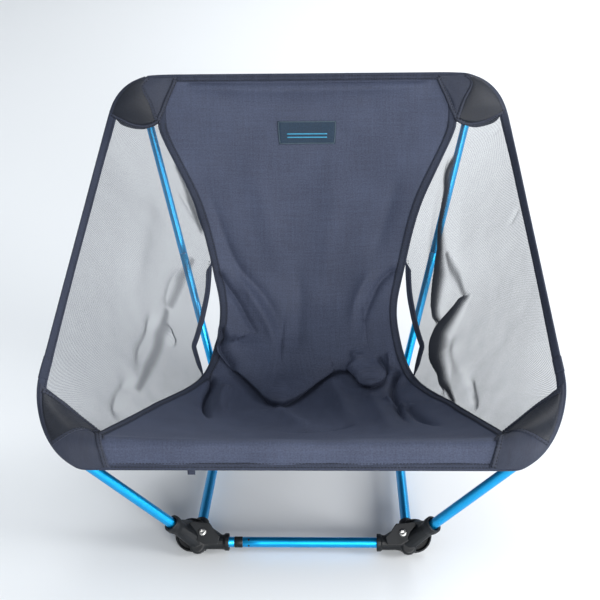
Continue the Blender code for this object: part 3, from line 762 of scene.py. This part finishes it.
def swept(name, path, normal, inward, section, material, wobble=1.0, slot=None):
    """A closed band whose section of (inward, up) points follows the path. wobble scales its thickness."""
    section = np.array(section, float)
    count, sides = len(path), len(section)
    across, up = section[:, 0], section[:, 1] * np.broadcast_to(wobble, count)[:, None]
    points = path[:, None] + inward[:, None] * across[:, None] + normal[:, None] * up[..., None]
    faces = ring_faces(count, sides)
    faces.append(tuple(range(sides))[::-1])
    faces.append(tuple((count - 1) * sides + j for j in range(sides)))
    cloth = np.zeros((count, sides, 3))
    cloth[..., 0], cloth[..., 1] = distances(section), distances(path)[:, None]
    return mesh_piece(name, points.reshape(-1, 3), faces, material, cloth=cloth.reshape(-1, 3))


def evenly(rows, step):
    """Rows resampled at about that step along their first three columns, which are points, and how far along
    the path each new row is."""
    lengths = distances(rows[:, :3])
    places = np.linspace(0, lengths[-1], max(int(lengths[-1] / step), 4))
    return np.stack([np.interp(places, lengths, column) for column in rows.T], axis=-1), places


def lerp(low, high, t):
    return low + (high - low) * t


def unit_grid(rows, columns):
    """Down and across, from 0 to 1, as a column and a row."""
    return np.linspace(0, 1, rows)[:, None], np.linspace(0, 1, columns)[None, :]


def strip_grid(stations, low, high, count):
    """Station and across grids of a strip whose rows run from low to high."""
    low, high = (np.broadcast_to(edge, stations.shape)[:, None] for edge in (low, high))
    return np.repeat(stations[:, None], count, axis=1), lerp(low, high, np.linspace(0, 1, count))


# The seat's cloth


def row_length(station):
    """Length of a row of a mesh panel, from its seam to the outer edge."""
    return np.linalg.norm(guide(EDGE, station) - guide(SEAM, station), axis=-1)


def panel_share(station, distance):
    """How much of across this distance is, on the centre panel beside its seam."""
    edge = plain_surface(station, np.full(station.shape, 1.0))
    inner = plain_surface(station, np.full(station.shape, 0.95))
    return distance * 0.05 / np.linalg.norm(edge - inner, axis=-1)


def vent(station):
    """The vent's width: two straight sides that meet at its corner."""
    t = np.clip((station - 2) / 2, 0, 1)
    down = np.clip(t / VENT_CORNER, 0, 1)
    straight = VENT_WIDTH * np.minimum(t / VENT_CORNER, (1 - t) / (1 - VENT_CORNER))
    return straight + VENT_BOW * 4 * down * (1 - down)


def make_panels():
    station, across = strip_grid(np.linspace(0.03, 7.9, 400), -1.0, 1.0, 181)
    panel = laid("centre_panel", station, across, CANVAS, PANEL_THICKNESS)
    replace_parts(panel, "seat_centre_panel")
    for side, sign in SIDES:
        stations = np.linspace(0.97, 6.03, 240)
        low = 1 + (vent(stations) + 0.0008) / row_length(stations)
        station, across = strip_grid(stations, low, 1.99, 90)
        net = laid(f"mesh_{side}", station, across * sign, NET, NET_THICKNESS)
        # The layered slack, which also paints the folds' shade into the net's colour.
        gather_shade = SEAT.read(SEAT.gather_shade, station, across * sign).ravel()
        layer = net.data.attributes.new("gather_shade", "FLOAT", "POINT")
        layer.data.foreach_set("value", np.concatenate([gather_shade, gather_shade]).astype(np.float32))
        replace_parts(net, f"seat_mesh_{side}")


def make_tapes():
    """The tape along each side of the centre panel, and the ribbon on each vent's outer side."""
    for side, sign in SIDES:
        stations = np.linspace(0.5, 7.05, 280)
        inner = 1 - panel_share(stations, TAPE_WIDTH)
        outer = 1 + 0.0012 / row_length(stations)
        station, across = strip_grid(stations, inner, outer, 9)
        tape = laid(f"panel_tape_{side}", station, across * sign, TAPE, 0.0011, 0.0010, 0.7)
        stations = np.linspace(1.97, 4.03, 90)
        border = (1 + vent(stations) / row_length(stations)) * sign
        path, up = SEAT.row(stations, border)
        outward = SEAT.at(stations, border + 0.05 * sign) - path
        tangent = unit(np.gradient(path, axis=0))
        outward = unit(outward - tangent * np.einsum("ij,ij->i", outward, tangent)[:, None])
        outward = outward * (faded(np.linspace(0, 1, 90), 0.10, 0.08) * 0.9 + 0.1)[:, None]
        ribbon = swept(f"vent_ribbon_{side}", path, up, outward, folded_section(RIBBON_WIDTH, 0.0010), TAPE)


def perimeter():
    """The seat's four outer sides as (station, across) rows, clockwise from the top left corner."""
    share = np.linspace(0, 1, 400)
    top, right = lerp(-2, 2, share), 8 * share
    sides = ((0 * share, top), (right, 2 + 0 * share), (8 + 0 * share, -top), (8 - right, -2 + 0 * share))
    return [np.stack(side, axis=-1) for side in sides]


def folded_section(width, half, thickness=0.0005):
    """The section of a tape folded over an edge: its outer side, then its inner side back again."""
    outer = (
        (width, half * 0.55),
        (width * 0.93, half * 0.95),
        (width * 0.60, half * 1.02),
        (width * 0.30, half * 0.98),
        (0.0006, half),
        (-0.0006, half * 0.66),
        (-0.0010, 0.0),
    )
    inner = [(max(across, -0.0010 + thickness), max(up - thickness, 0.0)) for across, up in outer]
    inner[-2] = (inner[-1][0] + 0.0003, inner[-2][1])
    lower = [(across, -up) for across, up in outer[-2::-1]]
    under = [(across, -up) for across, up in inner[-2::-1]]
    return (*outer, *lower, *under[::-1], *inner[::-1])


def make_edges():
    """The bindings of the two sides and the hems at the top and the front, as one outline in four pieces."""
    pieces = (
        ("top_hem", "seat_top_hem", 0.43, "centre_panel"),
        ("edge_binding_right", "seat_edge_right", 0.60, "mesh_right"),
        ("front_hem", "seat_front_hem", 0.49, "centre_panel"),
        ("edge_binding_left", "seat_edge_left", 0.60, "mesh_left"),
    )
    sides = [np.concatenate(SEAT.row(side[:, 0], side[:, 1]), axis=1) for side in perimeter()]
    marks = np.cumsum([0] + [distances(side[:, :3])[-1] for side in sides])
    outline = np.concatenate([side[:-1] for side in sides])
    rows, places = evenly(np.concatenate([outline, outline[:1]]), 0.0022)
    rows, places = rows[:-1], places[:-1]
    for _ in range(12):
        rows = (np.roll(rows, 1, axis=0) + rows * 2 + np.roll(rows, -1, axis=0)) / 4
    path, up = rows[:, :3], rows[:, 3:]
    tangent = unit(np.roll(path, -1, axis=0) - np.roll(path, 1, axis=0))
    up = unit(up - tangent * np.einsum("ij,ij->i", up, tangent)[:, None])
    inward = np.cross(tangent, up)
    edges = {}
    for (name, node, length, under), start, end in zip(pieces, marks[:-1], marks[1:], strict=True):
        chosen = (places >= start - 0.001) & (places <= end + 0.001)
        run = places[chosen]
        edges[name] = (path[chosen], up[chosen], inward[chosen])
        ripple = 0.10 * np.sin(run * 2 * pi / 0.0105) + 0.08 * np.sin(run * 2 * pi / 0.0231 + 1.3)
        wobble = 1 + ripple * (1.8 if name == "top_hem" else 0.4)
        section = folded_section(HEM_WIDTH if name.endswith("hem") else BINDING_WIDTH, BINDING_HALF)
        piece = swept(name, *edges[name], section, TAPE, wobble)
        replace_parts(piece, node)
    return edges


def patch_grid(place, rows, columns, outer=PATCH_SIDES[1]):
    """Station and across grids of a corner patch; the top one's lower edge bows down."""
    first, last = PATCH_SPAN[place]
    t, u = unit_grid(rows, columns)
    inner, bow = (lerp(0.93, 0.985, t), 0.14) if place == "top" else (PATCH_SIDES[0], 0.0)
    station = lerp(first, last + bow * np.sin(pi * u) ** 0.8, t)
    return station, lerp(inner, outer, u) + 0 * t


def patch_lift(place, station, across):
    """How far a patch lies above the seat, bulging over the pole's tip."""
    first, last = PATCH_SPAN[place]
    inner, outer = PATCH_SIDES
    t = np.clip((station - first) / (last + 0.1 - first), 0, 1)
    u = np.clip((across - inner) / (outer - inner), 0, 1)
    return 0.0016 + PATCH_SWELL * (np.sin(pi * t) * np.sin(pi * u)) ** 0.8


def make_patches():
    """The reinforced corners."""
    for side, sign in SIDES:
        for place in PATCH_SPAN:
            station, across = patch_grid(place, 40 if place == "top" else 60, 34)
            lift = patch_lift(place, station, across)
            name = f"corner_patch_{place}_{side}"
            patch = laid(name, station, across * sign, PATCH, PATCH_THICKNESS, lift, 0.5)
            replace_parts(patch, f"seat_patch_{place}_{side}")
            flat, area = ((0.070, 0.085), 0.0038) if place == "top" else ((0.080, 0.105), 0.0063)


def make_pocket_faces():
    """The darker, smoother face of each pocket, between its seam and the outer edge."""
    t, u = unit_grid(26, 30)
    station = lerp(0.10, 0.90 + 0.13 * np.sin(pi * 0.95 * u) ** 0.8, t)
    seam = np.interp(station, (0.0, 0.27, 0.62, 0.90), (1.80, 1.64, 1.21, 1.03))
    across = lerp(1.05, 1.93, u) + 0 * t
    below = np.interp(across, (1.01, 1.17, 1.48, 1.89), (6.20, 6.68, 6.93, 7.16))
    grids = {"top": (station, lerp(seam, 1.93, u)), "front": (lerp(6.10, below, t), across)}
    swell = 0.0022 * np.sin(pi * t) ** 0.6 * np.sin(pi * u) ** 0.6
    for side, sign in SIDES:
        for place, (station, across) in grids.items():
            lift = patch_lift(place, station, across) + 0.0007 + swell
            face = laid(f"pocket_face_{place}_{side}", station, across * sign, POCKET, 0.0006, lift)
            flat, area = ((0.062, 0.072), 0.0026) if place == "top" else ((0.062, 0.078), 0.0030)


def make_pockets():
    """The back of each corner's pocket, which the pole's tip sits in."""
    t, u = unit_grid(44, 40)
    for side, sign in SIDES:
        for place in PATCH_SPAN:
            station, across = patch_grid(place, 44, 40, 1.97)
            mouth = t if place == "top" else 1 - t  # 1 at the side where the pole comes in
            lift = -0.0016 - POCKET_DEPTH[place] * np.sin(pi * u) ** 0.7 * eased(mouth / 0.35)
            name = f"tip_pocket_{place}_{side}"
            pocket = laid(name, station, across * sign, PATCH, PATCH_THICKNESS, lift)


def make_loops():
    """The overlaps where the side bindings' ends meet, and the small tab under the front hem."""
    for name, edge, start, end in OVERLAPS:
        section = [(a * 1.06 - 0.0004, b * 1.25) for a, b in folded_section(BINDING_WIDTH, BINDING_HALF)]
        swept(name, *(part[start:end] for part in EDGES[edge]), section, TAPE)
    station, across = strip_grid(np.linspace(7.90, 8.0, 4), -0.575, -0.535, 4)
    upper = np.repeat(SEAT.at(station, across, -0.0018)[-1:], 4, axis=0)
    upper[..., 2] -= np.linspace(0, 0.007, 4)[:, None]
    layered("hem_tab", upper, upper + np.array([0, 0.0010, 0]), SEAT.read(SEAT.cloth, station, across), TAPE)


def strip_along(name, knots, width, material):
    """A narrow strip laid on the label along a path of (station, across) points."""
    line = smooth_path(knots, 24)
    path, up = SEAT.row(line[:, 0], line[:, 1], 0.0016)
    aside = np.cross(unit(np.gradient(path, axis=0)), up)
    half, thickness = width / 2, 0.0004
    upper = [(-half, 0.0), (-half * 0.94, thickness * 0.8), (-half * 0.5, thickness)]
    section = upper + [(-across, height) for across, height in upper[::-1]]
    section += [(half * 0.5, -0.0004), (-half * 0.5, -0.0004)]
    swept(name, path, up, aside, section, material, slot="woven_label")


def make_label():
    """A plain woven label with a raised border and two stripes."""
    width, height = LABEL_SIZE
    top, bottom = LABEL_STATIONS
    half = width / 2 / 0.19
    station, across = strip_grid(np.linspace(top, bottom, 14), -half, half, 20)
    label = laid("woven_label", station, across, LABEL, 0.0006, 0.0013, 0.2)
    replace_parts(label, "seat_label")
    rim = 0.0011 / 0.14
    levels, sides = (top + rim, bottom - rim), (-half + 0.0011 / 0.19, half - 0.0011 / 0.19)
    bars = [tuple((level, side) for side in sides) for level in levels]
    bars += [tuple((level, side) for level in levels) for side in sides]
    for index, bar in enumerate(bars):
        strip_along(f"label_border_{index}", bar, 0.0012, LABEL_EDGE)
    for index, share in enumerate((0.60, 0.74)):
        level = lerp(top, bottom, share)
        bar = ((level, -half * 0.7), (level, half * 0.7))
        strip_along(f"label_stripe_{index}", bar, 0.0016, LABEL_STRIPE)


# Stitching


def stitched(name, rows):
    """One piece that holds every stitch of the rows. A row is points on the cloth and its normals there."""
    length, pitch, radius = STITCH
    stations = ((-0.5, 0.0), (-0.32, 1.0), (0.32, 1.0), (0.5, 0.0))
    points, faces = [], []
    for path, up in rows:
        data, _ = evenly(np.concatenate([path, up], axis=1), pitch)
        spots, normals = data[:, :3], unit(data[:, 3:])
        ahead = unit(np.gradient(spots, axis=0))
        for spot, normal, run in zip(spots, normals, ahead, strict=True):
            faces += ring_faces(len(stations), 6, len(points))
            aside = np.cross(run, normal)
            for along, size in stations:
                middle = spot + run * along * length - normal * 0.0001 * (size == 0)
                for k in range(6):
                    angle = k * pi / 3
                    points.append(middle + (aside * cos(angle) + normal * sin(angle)) * radius * size)
    mesh_piece(name, points, faces, THREAD_WITH_PAINTED_SHADE, cloth=points)


def stitch_tapes():
    """Two rows along each panel tape and one along each vent's ribbon."""
    for side, sign in SIDES:
        stations = np.linspace(0.95, 7.0, 500)
        insets = (0.0016, TAPE_WIDTH - 0.0018)
        rows = [SEAT.row(stations, sign * (1 - panel_share(stations, inset)), 0.00165) for inset in insets]
        stations = np.linspace(2.02, 3.98, 160)
        across = 1 + (vent(stations) + RIBBON_WIDTH * 0.72) / row_length(stations)
        rows.append(SEAT.row(stations, sign * across, 0.0012))
        stitched(f"tape_stitching_{side}", rows)


def stitch_edges():
    """Two rows round the hems and one round the bindings."""
    for name, (path, up, inward) in EDGES.items():
        insets = (0.0026, 0.0068) if name.endswith("hem") else (0.0074,)
        rows = [(path + inward * inset + up * 0.00142, up) for inset in insets]
        stitched(f"{name}_stitching", rows)


# Seams of the right patches, as (station, across) paths; the left ones mirror them
PATCH_SEAMS = {
    "top": (
        ((0.06, 1.78), (0.27, 1.64), (0.62, 1.21), (0.93, 1.01)),
        ((0.08, 0.94), (0.65, 0.96), (0.90, 1.00)),
        ((0.92, 1.01), (1.01, 1.26), (1.03, 1.56), (0.98, 1.76), (0.93, 1.93)),
    ),
    "front": (
        ((6.05, 1.02), (6.05, 1.35), (6.05, 1.65), (6.10, 1.93)),
        ((6.06, 1.00), (6.8, 0.99), (7.4, 0.985), (7.86, 0.99)),
        ((6.12, 1.03), (6.68, 1.17), (6.93, 1.48), (7.16, 1.93)),
    ),
}


def stitch_patches():
    """A felled seam with two rows of stitches along each of a patch's borders and across it."""
    half = 0.0028
    section = ((-half, 0.0), (-half * 0.8, 0.0007), (half * 0.8, 0.0007), (half, 0.0))
    section += ((half * 0.5, -0.0007), (-half * 0.5, -0.0007))
    for side, sign in SIDES:
        rows = []
        for place, seams in PATCH_SEAMS.items():
            for index, knots in enumerate(seams):
                station, across = smooth_path(knots, 50).T
                lift = patch_lift(place, station, across) + 0.0006
                path, up = SEAT.row(station, across * sign, lift)
                aside = np.cross(unit(np.gradient(path, axis=0)), up)
                swept(f"patch_seam_{place}_{side}_{index}", path, up, aside, section, PATCH)
                rows += [(path + aside * shift + up * 0.0008, up) for shift in (-0.0017, 0.0017)]
        stitched(f"patch_stitching_{side}", rows)


# Tubes, tips, screws and hubs


def long_axis(points):
    """The direction that the points spread furthest along."""
    return np.linalg.svd(points - points.mean(axis=0), full_matrices=False)[2][0]


def corners_of(node):
    return np.array([tuple(v.co) for v in frame["nodes"][node].data.vertices])


def axis_of(node):
    """The two ends of a round piece's axis, the lower one first."""
    points = corners_of(node)
    direction = long_axis(points)
    middle = (points.max(axis=0) + points.min(axis=0)) / 2
    along = (points - middle) @ direction
    ring = points - middle - along[:, None] * direction
    centre = middle + (ring.max(axis=0) + ring.min(axis=0)) / 2
    ends = (centre + direction * along.min(), centre + direction * along.max())
    return sorted(ends, key=lambda end: end[2])


def lathe(name, start, direction, profile, material, body, sides=40, lobes=0.0, cloth=True):
    """A turned piece round a closed profile of (radius, distance from start) points. lobes makes the points
    with a negative radius six-sided, for a screw's recess."""
    side = unit(np.cross(direction, (0.0, 0.0, 1.0) if abs(direction[2]) < 0.9 else (1.0, 0.0, 0.0)))
    other = np.cross(direction, side)
    points, place = [], []
    for radius, along in profile:
        for angle in np.arange(sides) * 2 * pi / sides:
            size = radius if radius >= 0 else -radius * (1 + lobes * cos(6 * angle))
            points.append(start + direction * along + (side * cos(angle) + other * sin(angle)) * size)
            place.append((angle * abs(radius), along, 0))
    faces = ring_faces(len(profile), sides, closed=True)
    piece = mesh_piece(name, points, faces, material, body=body, cloth=place if cloth else None)
    piece.data.set_sharp_from_angle(angle=radians(50))
    return piece


def body_holding(node):
    return next(name for name, body in frame["bodies"].items() if frame["nodes"][node].parent is body)


def make_tubes():
    """A smooth tube with rounded rims in place of each CAD tube."""
    for node in frame["nodes"]:
        tube = node.startswith(("front_pole", "back_pole", "side_bar", "front_crossbar", "rear_crossbar"))
        if not tube or node.endswith(("_tip", "_cord", "_ferrule", "_band")):
            continue
        outer, inner = BACK_POLE_RADII if node.startswith("back_pole") else TUBE_RADII
        start, end = axis_of(node)
        length = np.linalg.norm(end - start)
        count = max(int(length / 0.02), 2)
        profile = [(inner, 0.0), (outer - TUBE_RIM, 0.0), (outer, TUBE_RIM)]
        profile += [(outer, TUBE_RIM + (length - 2 * TUBE_RIM) * k / count) for k in range(1, count)]
        profile += [(outer, length - TUBE_RIM), (outer - TUBE_RIM, length), (inner, length)]
        direction = (end - start) / length
        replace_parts(lathe(f"{node}_tube", start, direction, profile, BLUE, body_holding(node)), node)


def make_bands():
    """The shrunk sleeve on each crossbar's joint, and the two crimp dimples beside it."""
    direction, outer = np.array([1.0, 0.0, 0.0]), SLEEVE_RADIUS
    for place in ("front", "rear"):
        node = f"{place}_crossbar_band"
        low, high = (np.array(corner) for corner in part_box(node))
        start, length = (low + high) / 2 * (0, 1, 1) + low * (1, 0, 0), high[0] - low[0]
        profile = [(0.0055, 0.0002), (0.0061, 0.0), (outer, 0.0004), (outer - 0.0001, length / 2)]
        profile += [(outer, length - 0.0004), (0.0061, length), (0.0055, length - 0.0002)]
        name = f"{place}_crossbar_sleeve"
        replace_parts(lathe(name, start, direction, profile, BAND_BLACK, body_holding(node)), node)
        for index, angle in enumerate((radians(62), radians(-8))):
            out = np.array([0.0, -cos(angle), sin(angle)])
            spot = start + direction * (length + 0.0075) + out * 0.00585
            dimple = [(0.0, 0.00030), (0.0010, 0.00026), (0.0014, 0.0), (0.0, -0.0003)]
            body = body_holding(f"{place}_crossbar")
            lathe(f"{place}_crimp_{index}", spot, out, dimple, BAND_BLACK, body, sides=16)


def make_tips():
    """The plug in each pole's upper end, with its collar and rounded nose."""
    for node in frame["nodes"]:
        if not node.endswith("_tip"):
            continue
        start, end = axis_of(node)
        length = np.linalg.norm(end - start)
        stem, collar, shoulder = 0.0040 if node.startswith("back") else 0.0049, 0.0120, length - TIP_NOSE
        profile = [(0.0, 0.0), (stem - 0.0006, 0.0), (stem, 0.0008), (stem, collar)]
        profile += [(TIP_RADIUS - 0.0006, collar), (TIP_RADIUS, collar + 0.0008), (TIP_RADIUS, shoulder)]
        for angle in np.arange(1, 9) * pi / 16:
            profile.append((TIP_RADIUS * cos(angle), shoulder + TIP_NOSE * sin(angle)))
        direction = (end - start) / length
        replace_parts(lathe(f"{node}_plug", start, direction, profile, TIP_BLACK, body_holding(node)), node)


def make_screws():
    """A pan-head screw with a six-lobed recess in each hub."""
    for node in frame["nodes"]:
        if not node.endswith("_screw"):
            continue
        points = corners_of(node)
        direction = long_axis(points)
        direction = direction * (1 if direction[2] > 0 or abs(direction[2]) < 0.01 else -1)
        if "front" in node and direction[1] > 0 or "rear" in node and direction[1] < 0:
            direction = -direction
        along = points @ direction
        low, length = along.min(), along.max() - along.min()
        shank = points[along < low + 0.004].mean(axis=0)
        start = shank - direction * (shank @ direction) + direction * low
        head, wide = length - SCREW_HEAD, SCREW_RADIUS
        profile = [(0.0, 0.0), (0.0014, 0.0010), (0.0014, head), (0.0041, head), (wide, head + 0.0004)]
        profile += [(wide * cos(a), head + 0.0008 + 0.0014 * sin(a)) for a in (0.3, 0.6, 0.85, 1.05)]
        profile += [(-0.0024, length - 0.0001), (-0.0022, length - 0.0014), (0.0, length - 0.0017)]
        body = body_holding(node)
        piece = lathe(f"{node}_steel", start, direction, profile, STEEL, body, 48, 0.16, cloth=False)
        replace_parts(piece, node)


def make_hub_shells():
    """The hubs and their cap plates with moulded, rounded edges."""
    for node, obj in list(frame["nodes"].items()):
        if not (node.startswith("hub") and node.endswith(("_body", "_cap"))):
            continue
        rough = placed(f"{node}_rough", obj.data.copy())
        remesh = rough.modifiers.new("remesh", "REMESH")
        remesh.mode = "VOXEL"
        remesh.voxel_size = 0.00045 if node.endswith("_cap") else 0.00060
        smooth = rough.modifiers.new("smooth", "SMOOTH")
        smooth.factor = 0.5
        smooth.iterations = 4
        evaluated = rough.evaluated_get(bpy.context.evaluated_depsgraph_get())
        mesh = bpy.data.meshes.new_from_object(evaluated)
        bpy.data.objects.remove(rough)
        mesh.materials.clear()
        mesh.materials.append(HUB_BLACK)
        mesh.shade_smooth()
        shell = placed(f"{node}_shell", mesh)
        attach(shell, body_holding(node))
        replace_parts(shell, node)


def dress_nodes():
    """Gives the ferrules and the cords, which show as they are in the CAD, their materials."""
    for node, obj in frame["nodes"].items():
        for ending, material in (("_ferrule", BARE), ("_cord", CORD)):
            if node.endswith(ending):
                for slot in obj.material_slots:
                    slot.material = material


# Stage, light and camera


def make_stage():
    """A pale floor that turns up into a pale wall."""
    depth, wide, tall, bend = 5.0, 5.0, 4.0, 1.2
    turn = [k / 8 * pi / 2 for k in range(9)]
    curve = [(depth - bend + bend * sin(angle), bend - bend * cos(angle)) for angle in turn]
    profile = [(-depth, 0.0), *curve, (depth, tall)]
    points = [(x, y, z) for x in (-wide, wide) for y, z in profile]
    n = len(profile)
    mesh = bpy.data.meshes.new("backdrop")
    mesh.from_pydata(points, [], [(k, k + n, k + n + 1, k + 1) for k in range(n - 1)])
    mesh.materials.append(matt("backdrop", rgb(0.80, 0.825, 0.85), 0.985))
    mesh.shade_smooth()
    placed("backdrop", mesh)


def area_light(name, place, target, size, power, colour=(1.0, 1.0, 1.0)):
    data = bpy.data.lights.new(name, "AREA")
    data.shape = "RECTANGLE"
    data.size, data.size_y = size
    data.energy = power
    data.color = colour
    lamp = placed(name, data)
    lamp.location = place
    lamp.rotation_euler = (Vector(target) - Vector(place)).to_track_quat("-Z", "Y").to_euler()


def make_light():
    world = bpy.data.worlds.new("studio")
    bpy.context.scene.world = world
    world.use_nodes = True
    sky = world.node_tree.nodes["Background"]
    sky.inputs["Color"].default_value = rgb(0.90, 0.95, 1.0)
    sky.inputs["Strength"].default_value = 0.34
    area_light("window", (0.9, -2.6, 0.80), (0.0, 0.0, 0.22), (1.3, 0.8), 84.0, (1.0, 0.99, 0.97))
    area_light("floor_wash", (1.1, 2.0, 2.2), (0.3, 1.8, 0.0), (1.6, 1.6), 60.0)
    area_light("right_side", (2.0, -0.8, 0.95), (0.0, 0.1, 0.25), (0.8, 0.8), 34.0)
    area_light("overhead", (-0.7, -0.5, 2.1), (0.0, 0.1, 0.2), (1.4, 1.4), 13.0, (0.92, 0.96, 1.0))
    bpy.context.scene.view_settings.view_transform = "Standard"


def make_camera():
    """The camera in front of the chair, looking down at it."""
    data = bpy.data.cameras.new("camera")
    data.lens, data.sensor_width = 78.6, 36.0
    data.clip_end = 50.0
    camera = placed("camera", data)
    forward = Vector((-0.03804, 0.8854, -0.4633)).normalized()
    level = forward.cross(Vector((0, 0, 1))).normalized()
    upright = level.cross(forward)
    roll = radians(1.28)
    right = level * cos(roll) - upright * sin(roll)
    up = level * sin(roll) + upright * cos(roll)
    turn = Matrix((right, up, -forward)).transposed().to_4x4()
    camera.matrix_world = Matrix.Translation((0.0549, -1.3870, 0.964)) @ turn
    bpy.context.scene.camera = camera


make_camera()
make_light()
make_stage()
dress_nodes()
make_tubes()
make_bands()
make_tips()
make_screws()
make_hub_shells()
make_panels()
make_tapes()
EDGES = make_edges()
make_patches()
make_pocket_faces()
make_pockets()
make_loops()
make_label()
stitch_tapes()
stitch_edges()
stitch_patches()
